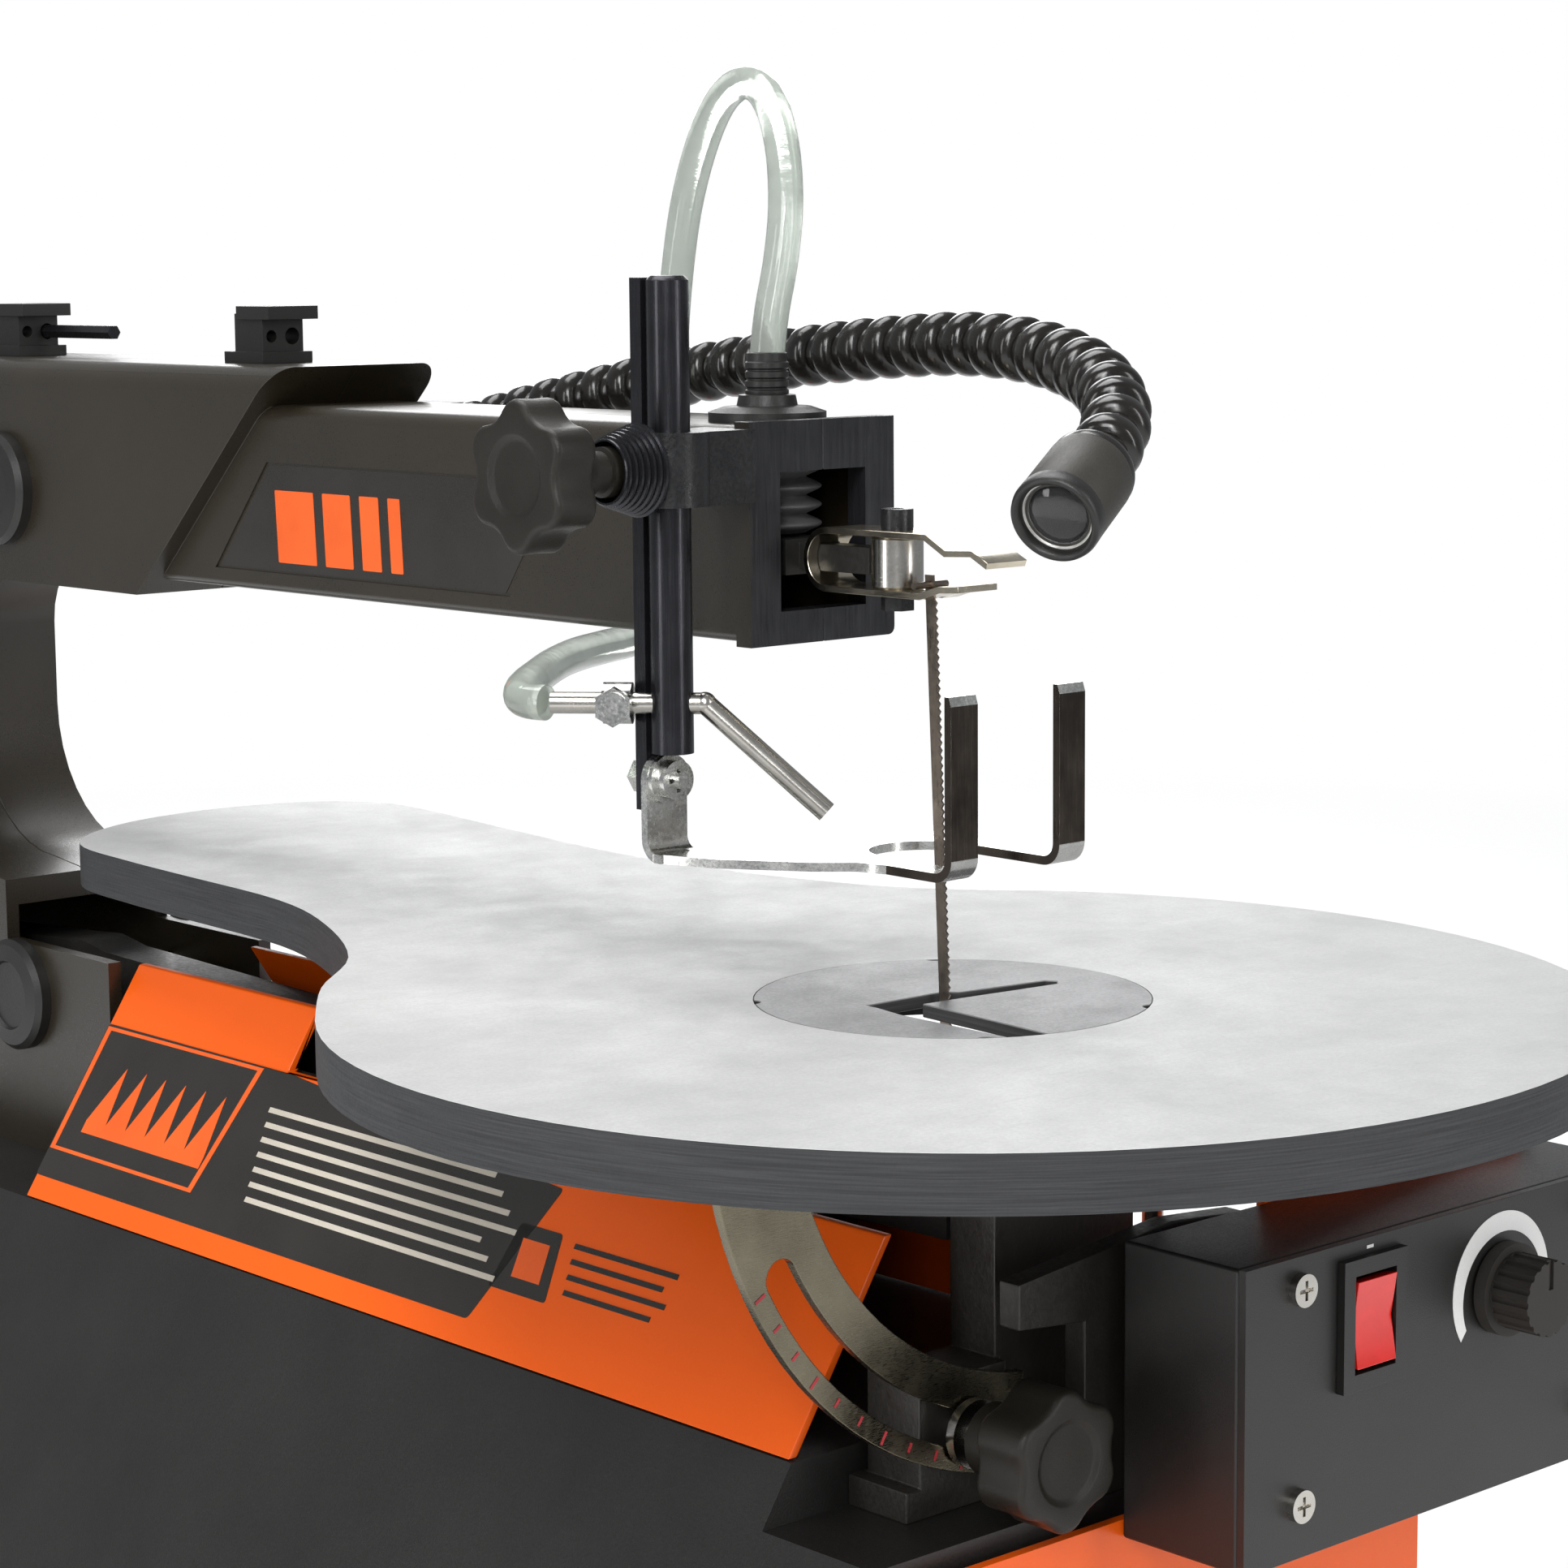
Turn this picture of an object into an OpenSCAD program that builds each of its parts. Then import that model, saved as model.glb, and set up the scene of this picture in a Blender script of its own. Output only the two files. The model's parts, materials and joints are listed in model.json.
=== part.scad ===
// Bench scroll saw: parallel arms, tilting table, drop foot, bead-type work light.
// Each piece is drawn with the insert centre at x = 0, y = 0 and the table top at z = 0:
// x to the operator's right, y to the back, z up. saw_frame() then moves it so that the
// origin is the centre of the four bench holes, on the bottom plane.

/* [Table] */
// Height of the table top above the bench
table_h = 205; // [200:1:215]
// Radius of the round front of the table
table_r = 141.5; // [138:0.5:143]
// Depth of the table's rim
table_rim = 12; // [11:0.5:12.5]
// Radius of the round insert
insert_r = 44; // [40:0.5:46]
// Thickness of the insert
insert_t = 3; // [2:0.5:4]
// Radius of the trunnion arc about the tilt axis
trunnion_r = 34; // [33:0.5:36]
// Radius of the middle of the bevel slot about the tilt axis
bevel_r = 90; // [88:0.5:91]
// Largest tilt of the table to the left
tilt_max = 45; // [30:5:45]

/* [Base] */
// Sideways distance between bench holes
hole_dx = 268; // [262:2:272]
// Front to back distance between bench holes
hole_dy = 380; // [360:2:390]
// Radius of a bench hole
hole_r = 4.5; // [3.5:0.5:5]
// Place of the middle of the bench holes behind the blade
hole_mid_y = 190; // [180:1:200]
// Half width of the base box
base_w2 = 112; // [108:1:114]
// Height of the deck above the bench
deck_h = 114; // [112:1:115]
// Slope of the side panels from level
flank_deg = 57; // [55:1:60]

/* [Frame] */
// Back end of the frame behind the blade
frame_back = 505; // [500:1:515]
// Half width of the front part of the arm housing
arm_w2 = 22; // [21:0.5:23]
// Half width of the back part of the frame
frame_w2 = 27; // [26:0.5:28]
// Wall thickness of the frame halves
wall = 4; // [3.5:0.5:4]
// Bottom of the arm housing above the table
arm_low = 77; // [75:0.5:78]
// Top of the front part of the arm housing above the table
arm_top = 125; // [124:0.5:126]
// Top of the back part of the arm housing above the table
frame_top = 135; // [133:1:137]
// Throat: blade to the column
throat = 418; // [410:1:420]

/* [Arms] */
// Place of both arm pivots behind the blade
pivot_y = 353; // [350:1:356]
// Height of the upper pivot above the table
pivot_up = 99; // [98:0.5:100]
// Depth of the lower pivot below the table
pivot_low = 46; // [45:0.5:47]
// Place of the tension rod behind the blade
rod_y = 455; // [452:1:458]
// Blade stroke
stroke = 14.3; // [10:0.1:14.5]
// Place of the drive link behind the blade
link_y = 213; // [205:1:220]
// Depth of the motor shaft below the table
motor_z = 150; // [148:1:152]
// Radius of the motor body
motor_r = 40; // [36:1:40]

/* [Blade] */
// Blade width, front to back
blade_w = 2.6; // [1:0.1:3]
// Blade thickness
blade_t = 0.5; // [0.3:0.1:0.8]
// Distance between blade teeth
tooth_pitch = 1.7; // [1.2:0.1:2.5]

/* [Drop foot] */
// Radius of the foot rod
foot_rod_r = 4.7; // [4.5:0.05:5]
// Sideways place of the foot rod
foot_x = -41; // [-43:0.5:-40]
// Front to back place of the foot rod
foot_y = 46; // [45:0.5:47]
// Height of the top of the foot rod above the table
foot_top = 158.3; // [150:0.1:165]
// Height of the fork above the table
fork_z = 30; // [28:0.5:32]
// Width of a fork prong
prong_w = 8; // [6:0.5:9]
// Thickness of the fork
fork_t = 2; // [1.5:0.1:2.2]

/* [Light] */
// Distance between beads
bead_pitch = 9.7; // [9:0.1:10.5]
// Largest radius of a bead
bead_r = 7.5; // [7:0.1:8]
// Number of beads
bead_n = 30; // [28:1:32]

/* [Air hose] */
// Outer radius of the hose
hose_r = 4; // [3.5:0.1:4.2]

/* [Hidden] */
eps = 0.01;
gap = 0.3;
run = 0.05;
bottom = -table_h;
deck = bottom + deck_h;
step_z = deck - 13;
flank_m = tan(flank_deg);
flank_z = -1.4;
lever = pivot_y - 5;
crank_r = stroke / 2 * (pivot_y - link_y) / lever;
knob_x = foot_x - 11;
clamp_z = 116.6;
bolt_x = bevel_r * cos(253);
bolt_z = bevel_r * sin(253);
panel_top = -46;
box_front = -84;
panel_x0 = 2;
panel_x1 = 140;

// ---- helpers ----

module saw_frame() {
  translate([0, -hole_mid_y, table_h]) children();
}

// Prism along x of an outline given in y and z.
module prism_x(pts, x0, x1) {
  translate([x0, 0, 0])
    rotate([90, 0, 90])
      linear_extrude(x1 - x0) polygon(pts);
}

// Prism along y of an outline given in x and z.
module prism_y(pts, y0, y1) {
  translate([0, y1, 0])
    rotate([90, 0, 0])
      linear_extrude(y1 - y0) polygon(pts);
}

module box(lo, hi) {
  translate(lo) cube(hi - lo);
}

module rod_x(x0, x1, y, z, r) {
  translate([x0, y, z])
    rotate([0, 90, 0])
      cylinder(h = x1 - x0, r = r, $fn = 48);
}

module rod_y(y0, y1, x, z, r) {
  translate([x, y1, z])
    rotate([90, 0, 0])
      cylinder(h = y1 - y0, r = r, $fn = 48);
}

module rod_z(z0, z1, x, y, r) {
  translate([x, y, z0]) cylinder(h = z1 - z0, r = r, $fn = 48);
}

// Points of an arc from angle a0 to a1.
function arc(c, r, a0, a1, n) =
  [for (i = [0:n]) let (a = a0 + (a1 - a0) * i / n) c + r * [cos(a), sin(a)]];

// One point of a smooth curve through p, between p[i] and p[i + 1].
function curve_at(p, i, t) =
  let (
    n = len(p),
    a = p[max(i - 1, 0)], b = p[i], c = p[min(i + 1, n - 1)], d = p[min(i + 2, n - 1)]
  )
  0.5 * (2 * b + (c - a) * t + (2 * a - 5 * b + 4 * c - d) * t * t
    + (3 * b - a - 3 * c + d) * t * t * t);

function smooth(p, k) =
  concat([for (i = [0:len(p) - 2]) for (j = [0:k - 1]) curve_at(p, i, j / k)],
    [p[len(p) - 1]]);

function unit(v) = v / norm(v);

// Tube along a path: rings of points square to the path, joined by quads.
module tube(path, r, n = 12) {
  count = len(path);
  rings = [for (i = [0:count - 1])
    let (
      t = unit(path[min(i + 1, count - 1)] - path[max(i - 1, 0)]),
      u = unit(cross(t, abs(t[2]) > 0.9 ? [1, 0, 0] : [0, 0, 1])),
      v = cross(t, u)
    )
    for (k = [0:n - 1]) path[i] + r * (cos(360 * k / n) * u + sin(360 * k / n) * v)];
  sides = [for (i = [0:count - 2]) for (k = [0:n - 1])
    [i * n + k, i * n + (k + 1) % n, (i + 1) * n + (k + 1) % n, (i + 1) * n + k]];
  ends = [[for (k = [n - 1:-1:0]) k], [for (k = [0:n - 1]) (count - 1) * n + k]];
  polyhedron(points = rings, faces = concat(sides, ends), convexity = 10);
}

// Lobed knob along +z: lobes around the rim, a hub and a dished face.
module lobed_knob(r, h, lobes) {
  difference() {
    union() {
      cylinder(h = h, r = r * 0.86, $fn = 60);
      for (i = [0:lobes - 1])
        rotate([0, 0, 360 * i / lobes])
          translate([r * 0.76, 0, 0]) cylinder(h = h, r = r * 0.24, $fn = 32);
    }
    for (i = [0:lobes - 1])
      rotate([0, 0, 360 * (i + 0.5) / lobes])
        translate([r * 1.02, 0, -eps]) cylinder(h = h + 1, r = r * 0.2, $fn = 32);
    translate([0, 0, h - 1.5])
      difference() {
        cylinder(h = 2, r = r * 0.55, $fn = 60);
        translate([0, 0, -eps]) cylinder(h = 3, r = r * 0.42, $fn = 60);
      }
  }
}

// Screw head along +z with a cross recess.
module screw_head(r, h) {
  difference() {
    cylinder(h = h, r = r, $fn = 32);
    for (a = [0, 90])
      rotate([0, 0, a])
        translate([-r * 0.6, -r * 0.12, h * 0.45]) cube([r * 1.2, r * 0.24, h]);
  }
}

// ---- base and covers ----

// x of the left flank at a height z.
function flank_x(z) = (z - flank_z) / flank_m;

knee_z = flank_z - flank_m * base_w2;

// Outline of the base in x and z, grown by d.
function base_outline(d) = [[-base_w2 - d, bottom - d], [base_w2 + d, bottom - d],
  [base_w2 + d, knee_z], [d - flank_x(deck), deck + d], [flank_x(deck) - d, deck + d],
  [-base_w2 - d, knee_z]];

module base_casting() {
  w = base_w2;
  color("#1c1b1a")
    saw_frame()
      difference() {
        union() {
          prism_y(base_outline(0), -44, 470);
          for (sy = [-1, 1])
            translate([0, hole_mid_y + sy * hole_dy / 2, bottom])
              box([-hole_dx / 2 - 20, -24, 0], [hole_dx / 2 + 20, 24, 8]);
        }
        prism_y([[-w + 3, bottom + 4], [w - 3, bottom + 4], [w - 3, knee_z - 0.9],
          [56.5, deck - 3], [-56.5, deck - 3], [-w + 3, knee_z - 0.9]], -7, 467);
        prism_y([[-w + 3, bottom + 4], [w - 3, bottom + 4], [w - 3, knee_z - 0.9],
          [65, step_z - 3], [-65, step_z - 3], [-w + 3, knee_z - 0.9]], -41, 0);
        box([-80, -50, step_z], [80, -10, deck + 1]);
        box([-21, 90, deck - 10], [21, 440, deck + 1]);
        for (sx = [-1, 1])
          for (sy = [-1, 1])
            translate([sx * hole_dx / 2, hole_mid_y + sy * hole_dy / 2, bottom - 1])
              cylinder(h = 12, r = hole_r, $fn = 48);
        rod_x(20, w + 1, link_y, -motor_z, motor_r + 2.2);
      }
}

// Pillar and bolt post in front of the arms, standing on the deck.
module front_support() {
  color("#232120")
    saw_frame()
      difference() {
        union() {
          box([-42, -28.4, step_z], [52, -10.2, step_z + 7]);
          box([-13, -26, step_z], [31, -12, -20]);
          box([-38, -28.4, step_z], [-12, -12, bolt_z + 12]);
          prism_y([[-4, step_z], [48, step_z], [48, panel_top - 3], [24, panel_top - 1],
            [-24, -52], [-24, -62], [-4, -64]], -44, -38);
          box([-4, -40, step_z], [31, -20, step_z + 4]);
        }
        rod_y(-30, -10, 0, 0, trunnion_r + gap);
        prism_y([[-60, -77.6], [40, 22.4], [-80, 42.4], [-90, -77.6]], -29, -10);
        rod_y(-29, -10, bolt_x, bolt_z, 3.2);
      }
}

// Sloping sheet-metal side panel; side -1 is the left one.
module side_panel(side) {
  t = 2.5;
  function sheet(z0, z1) = [[side * -flank_x(z0), z0], [side * -flank_x(z1), z1],
    [side * (-flank_x(z1) - t), z1], [side * (-flank_x(z0) - t), z0]];
  union() {
    prism_y(sheet(deck + gap, -47), -9, 302);
    prism_y(sheet(-50, -31.5), 216, 302);
    prism_y([[side * 27.3, -56], [side * 27.3, -60], [side * 37, -60], [side * 34.5, -56]],
      62, 300);
  }
}

module left_side_panel() {
  color("#f1641e") saw_frame() side_panel(-1);
}

module right_side_panel() {
  color("#f1641e") saw_frame() side_panel(1);
}

// Cover of the motor's end, on the right side of the base.
module motor_cover() {
  y0 = link_y - 48;
  y1 = link_y + 48;
  color("#f1641e")
    saw_frame()
      difference() {
        prism_x([[y0, bottom + 9], [y1, bottom + 9], [y1, -115], [y1 - 12, -104.5],
          [y0 + 12, -104.5], [y0, -115]], 60, base_w2 + 38);
        prism_x([[y0 + 3, bottom + 12], [y1 - 3, bottom + 12], [y1 - 3, -116],
          [y1 - 13, -107.5], [y0 + 13, -107.5], [y0 + 3, -116]], 50, base_w2 + 35);
        prism_y(base_outline(0.2), y0 - 1, y1 + 1);
        for (i = [0:6])
          translate([base_w2 + 34, link_y - 25.5 + 8 * i, -motor_z - 20]) cube([6, 3, 40]);
      }
}

// Sheet behind the control box; its top edge shows above the box.
module front_panel() {
  color("#f1641e")
    saw_frame()
      difference() {
        union() {
          box([48, -49.5, panel_top - 70], [panel_x1, -47, -37]);
          box([-104, -49.5, bottom + 12], [104, -47, panel_top - 62]);
          box([-104, -49.5, bottom + 12], [104, -44.02, bottom + 22]);
        }
        for (x = [-94, 94])
          rod_y(-60, -40, x, bottom + 17, 2.2);
      }
}

// ---- frame ----

// Radii of the frame's upper rear corner and of the throat's two corners.
corner_r = 45;
throat_r1 = 20;
throat_r2 = 40;
throat_line = concat([[285, arm_low - 4]],
  arc([throat - throat_r1, arm_low - 4 - throat_r1], throat_r1, 90, 0, 6),
  arc([throat - throat_r2, 28], throat_r2, 0, -90, 9),
  [[360, -14], [360, -31], [306, -31], [306, -48], [60, -48]]);

// Outer shape of the whole frame, before it is split in two.
module frame_body() {
  union() {
    difference() {
      prism_x(concat([[60, deck], [frame_back, deck]],
        arc([frame_back - corner_r, frame_top - corner_r], corner_r, 0, 90, 9),
        [[218, frame_top]], throat_line), -frame_w2, frame_w2);
      for (side = [-1, 1])
        difference() {
          box([side > 0 ? frame_w2 - 7 : -frame_w2 - 1, 200, frame_top - 7],
            [side > 0 ? frame_w2 + 1 : 7 - frame_w2, frame_back + 1, frame_top + 1]);
          rod_y(199, frame_back + 2, side * (frame_w2 - 7), frame_top - 7, 7);
        }
    }
    prism_y(concat(arc([arm_w2 - 4, arm_top - 4], 4, 0, 90, 6),
      arc([-arm_w2 + 4, arm_top - 4], 4, 90, 180, 6),
      arc([-arm_w2 + 2, arm_low + 2], 2, 180, 270, 4),
      arc([arm_w2 - 2, arm_low + 2], 2, 270, 360, 4)), 46, 285);
    box([-arm_w2, 41, arm_low - 1], [arm_w2, 46 + eps, arm_top + 1]);
  }
}

// Everything hollow inside the frame and every hole through it.
module frame_cuts() {
  i = frame_w2 - wall;
  j = arm_w2 - wall;
  box([-13, 40, 83.5], [13, 52, 114.7]);
  box([-j, 46.8, arm_low + wall], [j, 290, arm_top - wall]);
  prism_x([[252, frame_top - wall], [292, arm_low], [throat + wall, arm_low],
    [throat + wall, 30], [throat, 0], [throat - 20, -20], [350, -22], [350, -40],
    [200, -40], [200, -56], [56, -56], [56, deck - 1], [frame_back - wall, deck - 1],
    [frame_back - wall, frame_top - 46], [frame_back - 12, frame_top - 24],
    [frame_back - 28, frame_top - 10], [frame_back - 46, frame_top - wall]], -i, i);
  box([-i, 56, -60], [i, 359, -20]);
  rod_z(frame_top - 10, frame_top + 1, 0, rod_y, 7);
  for (z = [pivot_up, -pivot_low])
    rod_x(-frame_w2 - 1, frame_w2 + 1, pivot_y, z, 6);
  rod_z(arm_top - 8, arm_top + 2, 0, 59.6, 4);
}

// Screw places on the frame's side, as y and z.
frame_screw_at = [[436, 122], [492, 20], [492, -78], [385, -78], [120, -78]];

module frame_half(side) {
  difference() {
    intersection() {
      frame_body();
      box([side > 0 ? 0.02 : -60, 0, deck - 5], [side > 0 ? 60 : -0.02, 600, 200]);
    }
    frame_cuts();
    for (q = frame_screw_at)
      rod_x(side * 24.5 - 3.5, side * 24.5 + 3.5, q[0], q[1], 2.5);
    if (side < 0)
      prism_x([[128, 82], [254, 82], [229, 110.5], [108, 110.5]], -arm_w2 - 1, -arm_w2 + 0.5);
  }
}

module frame_left() {
  color("#211e1b") saw_frame() frame_half(-1);
}

module frame_right() {
  color("#211e1b") saw_frame() frame_half(1);
}

// Screws through both halves, heads on the left side, nuts on the right.
module frame_screws() {
  color("#8d8d8a")
    saw_frame()
      for (q = frame_screw_at) {
        rod_x(-frame_w2 - eps, frame_w2 + eps, q[0], q[1], 2.45);
        translate([-frame_w2, q[0], q[1]]) rotate([0, -90, 0]) screw_head(4.5, 2.6);
        translate([frame_w2, q[0], q[1]]) rotate([0, 90, 0]) cylinder(h = 3, r = 4.6, $fn = 6);
      }
}

module pivot_caps() {
  color("#191715")
    saw_frame()
      for (side = [-1, 1])
        for (z = [pivot_up, -pivot_low])
          translate([side * frame_w2, pivot_y, z])
            rotate([0, side * 90, 0])
              rotate_extrude($fn = 72)
                polygon([[0, 0], [16, 0], [16, 3], [14.5, 4.5], [10, 5], [9.4, 4], [0, 4]]);
}

module pivot_pins() {
  color("#a9a9a6")
    saw_frame()
      for (z = [pivot_up, -pivot_low])
        rod_x(-frame_w2, frame_w2, pivot_y, z, 6);
}

// Two clips with a hole and a flat cap on top of the arm housing.
module tool_clips() {
  color("#161514")
    saw_frame()
      for (y = [259, 383])
        difference() {
          union() {
            box([-8, y - 9, frame_top], [8, y + 9, frame_top + 3]);
            box([-6.5, y - 7, frame_top], [6.5, y + 6, frame_top + 13]);
            box([-8, y - 12, frame_top + 11.5], [8, y + 3, frame_top + 15]);
          }
          rod_y(y - 20, y + 20, 3, frame_top + 7, 2.2);
          rod_y(y - 20, y + 20, -3.6, frame_top + 7, 1.6);
        }
}

// L-shaped wrench held in the rear clip.
module hex_wrench() {
  color("#2a2a2a")
    saw_frame()
      translate([3, 0, frame_top + 7]) {
        translate([0, 432, 0]) rotate([90, 0, 0]) cylinder(h = 92, r = 2.1, $fn = 6);
        translate([0, 430.2, -5]) cylinder(h = 5, r = 2.1, $fn = 6);
      }
}

module cord_gland() {
  color("#131313")
    saw_frame()
      translate([-52, 470, bottom + 40])
        rotate([-90, 0, 0])
          rotate_extrude($fn = 48)
            polygon([[0, 0], [9, 0], [9, 4], [6, 5], [5.4, 18], [3.6, 18], [3.6, 2], [0, 2]]);
}

// ---- air blower ----

module hose_fitting() {
  color("#1a1a1a")
    saw_frame()
      translate([0, 59.6, arm_top])
        rotate_extrude($fn = 60)
          polygon([[0, 0], [13.5, 0], [13.5, 2.2], [10, 3.4], [7, 3.6], [6.5, 6], [3.2, 6.5],
            [3.4, 8.2], [2.7, 8.6], [3.4, 11.2], [2.7, 11.6], [3.1, 14], [0, 14]]);
}

bellows_z0 = 99.6;
bellows_z1 = arm_top - wall - 0.02;

module pump_bellows() {
  folds = 5;
  h = (bellows_z1 - bellows_z0) / folds;
  color("#262322")
    saw_frame()
      translate([0, 59.6, bellows_z0])
        rotate_extrude($fn = 60)
          polygon(concat([[0, 0]],
            [for (i = [0:folds - 1]) each [[9, i * h], [12.5, (i + 0.5) * h]]],
            [[9, folds * h], [0, folds * h]]));
}

blow_dir = [0.665, -0.747, 0];
blow_mid = [foot_x, foot_y, 65];
blow_back = blow_mid - 27 * blow_dir;
hose_join = 1.1;

// Hose route from the barb, over the head, down the right side, under the arm housing
// and round to the back end of the blower tube.
hose_route = [
  [0, 59.6, 132], [0, 59.4, 140], [1, 58.8, 150], [3.5, 58.5, 161], [6.5, 60, 173],
  [10, 64.5, 185], [14, 72, 195], [18.5, 82, 201], [22, 93, 202.5], [25, 104, 198],
  [27, 113, 188], [27.7, 119.5, 174], [27.6, 123, 158], [27.2, 124.6, 142],
  [27, 125.4, 126], [27, 125.6, 110], [27, 125, 95], [25.5, 123.5, 82.5],
  [20, 121, 73.5], [8, 117.5, 70.5], [-6, 112, 70], [-20, 105.5, 69.7], [-33, 97.5, 69],
  [-45, 88.5, 68], [-55, 81, 66.8], [-60.2, 75.2, 65.7], [-60.9, 71.4, 65.1],
  blow_back - hose_join * blow_dir];

module air_hose() {
  color("#cfd8cf") saw_frame() tube(smooth(hose_route, 3), hose_r, 14);
}

// Straight metal tube through the foot rod, bent down towards the blade.
module blower_tube() {
  front = blow_mid + 7.3 * blow_dir;
  tip = [-18.4, 20.6, 41];
  color("#b9b7ae")
    saw_frame()
      union() {
        translate(blow_back)
          rotate([0, 90, atan2(blow_dir[1], blow_dir[0])])
            cylinder(h = 34.3, r = 2.4, $fn = 32);
        translate(front) sphere(r = 2.55, $fn = 32);
        translate(front)
          rotate([0, acos((tip - front)[2] / norm(tip - front)),
            atan2((tip - front)[1], (tip - front)[0])])
            difference() {
              cylinder(h = norm(tip - front), r = 2.4, $fn = 32);
              translate([0, 0, 6]) cylinder(h = 60, r = 1.7, $fn = 32);
            }
      }
}

collar_mid = blow_mid - 12 * blow_dir;

module blower_collar() {
  color("#c9c9c4")
    saw_frame()
      difference() {
        translate(collar_mid)
          rotate([0, 90, atan2(blow_dir[1], blow_dir[0])])
            translate([0, 0, -3.2]) cylinder(h = 6.4, r = 4.6, $fn = 40);
        translate(blow_back)
          rotate([0, 90, atan2(blow_dir[1], blow_dir[0])])
            translate([0, 0, -1]) cylinder(h = 40, r = 2.4 + run, $fn = 32);
      }
}

module blower_screw() {
  color("#d5d5d2")
    saw_frame()
      translate(collar_mid)
        rotate([0, 90, atan2(blow_dir[1], blow_dir[0]) - 90]) {
          translate([0, 0, 4]) cylinder(h = 2, r = 1.9, $fn = 32);
          translate([0, 0, 5.5]) cylinder(h = 3, r = 4.4, $fn = 6);
          translate([0, 0, 8.4]) cylinder(h = 0.8, r = 3.4, $fn = 32);
        }
}

// ---- drop foot ----

// Split collar fixed to the left side of the head; the rod and the bar slide in it.
module foot_clamp() {
  color("#1e1c1b")
    saw_frame()
      difference() {
        union() {
          box([foot_x, foot_y - 7, clamp_z - 8.2], [-arm_w2 - eps, foot_y + 9.5, clamp_z + 8]);
          rod_z(clamp_z - 8.2, clamp_z + 8, foot_x, foot_y, 9);
          rod_x(knob_x - 3, foot_x, foot_y, clamp_z, 6.5);
        }
        rod_z(100, 130, foot_x, foot_y, foot_rod_r + run);
        box([foot_x - 4.3, foot_y + 4, 100], [foot_x + 4.3, foot_y + 8.3, 130]);
        rod_x(knob_x - 8, foot_x, foot_y, clamp_z, 3.1);
      }
}

module foot_lock_knob() {
  color("#1c1817")
    saw_frame()
      translate([foot_x - 5.2, foot_y, clamp_z])
        rotate([0, -90, 0])
          union() {
            cylinder(h = 20, r = 3, $fn = 40);
            translate([0, 0, 10]) cylinder(h = 17.5, r = 5.5, $fn = 40);
            translate([0, 0, 24]) cylinder(h = 3.2, r = 9, $fn = 40);
            translate([0, 0, 26.8]) lobed_knob(16.5, 11, 6);
          }
}

module foot_rod() {
  color("#15161a")
    saw_frame()
      difference() {
        union() {
          rod_z(54, foot_top - 1, foot_x, foot_y, foot_rod_r);
          translate([foot_x, foot_y, foot_top - 1])
            cylinder(h = 1, r1 = foot_rod_r, r2 = foot_rod_r - 1, $fn = 48);
        }
        translate(blow_back)
          rotate([0, 90, atan2(blow_dir[1], blow_dir[0])])
            cylinder(h = 50, r = 2.4 + run, $fn = 32);
        box([foot_x - 6, foot_y + 4.3, 40], [foot_x + 6, foot_y + 6, 170]);
      }
}

// Flat bar behind the rod; it keeps the foot from turning and carries the fork.
module guide_bar() {
  color("#17171a")
    saw_frame()
      difference() {
        box([foot_x - 4, foot_y + 4.32, 41], [foot_x + 4, foot_y + 8, foot_top - 0.4]);
        rod_y(foot_y, foot_y + 20, foot_x, 48, 2);
        translate(blow_back)
          rotate([0, 90, atan2(blow_dir[1], blow_dir[0])])
            cylinder(h = 50, r = 2.4 + run, $fn = 32);
      }
}

// Bent fork: upright tab, heel, flat plate open round the blade, two upturned prongs.
module forked_foot() {
  z = fork_z;
  t = fork_t;
  r_in = 3;
  y_tab = foot_y + 4.2;
  plate = concat([[-47, y_tab - 4], [-42, 31], [-30, 13], [-23, 6], [-21, -1], [-21, -16],
    [-21 + prong_w, -16], [-21 + prong_w, 6]],
    arc([-0.5, 8], 12.5, 180, 0, 16),
    [[12, 6], [12, -16], [12 + prong_w, -16], [12 + prong_w, 24]],
    arc([-2, 25], 22, 0, 82, 10),
    [[-18, 46], [-35, y_tab - 4]]);
  color("#c4c5c2")
    saw_frame()
      difference() {
        union() {
          translate([0, 0, z]) linear_extrude(t) polygon(plate);
          for (x = [-21, 12])
            prism_x(concat(arc([-16, z + t + r_in], r_in + t, 270, 180, 8),
              [[-16 - r_in - t, z + 38], [-16 - r_in - t + 0.7, z + 40],
              [-16 - r_in, z + 40]], arc([-16, z + t + r_in], r_in, 180, 270, 8)),
              x, x + prong_w);
          prism_x(concat(arc([y_tab - 5, z + t + r_in], r_in + t, 270, 360, 8),
            [[y_tab, 48], [y_tab - t, 48]],
            arc([y_tab - 5, z + t + r_in], r_in, 360, 270, 8)), foot_x - 5.8, foot_x + 5.8);
          rod_y(y_tab - t, y_tab, foot_x, 48, 5.8);
          box([foot_x - 5.8, y_tab - 6.5, z], [foot_x + 5.8, y_tab - 4.9, z + t]);
        }
        rod_y(foot_y - 4, foot_y + 6, foot_x, 48, 2);
      }
}

module foot_screw() {
  color("#cfd0ce")
    saw_frame()
      union() {
        rod_y(foot_y - 4, foot_y + 12, foot_x, 48, 1.95);
        rod_y(foot_y + 0.9, foot_y + 2.18, foot_x, 48, 5.6);
        translate([foot_x, foot_y + 1, 48]) rotate([90, 0, 0]) screw_head(4.4, 2.8);
        translate([foot_x, foot_y + 8.02, 48]) rotate([-90, 0, 0]) cylinder(h = 3.2, r = 4, $fn = 6);
      }
}

// ---- arms, blade and tension ----

// Beam in y and z, with a bore of radius r at each place in holes.
module beam(pts, x2, holes) {
  difference() {
    prism_x(pts, -x2, x2);
    for (q = holes)
      rod_x(-x2 - 1, x2 + 1, q[0], q[1], q[2]);
  }
}

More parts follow.
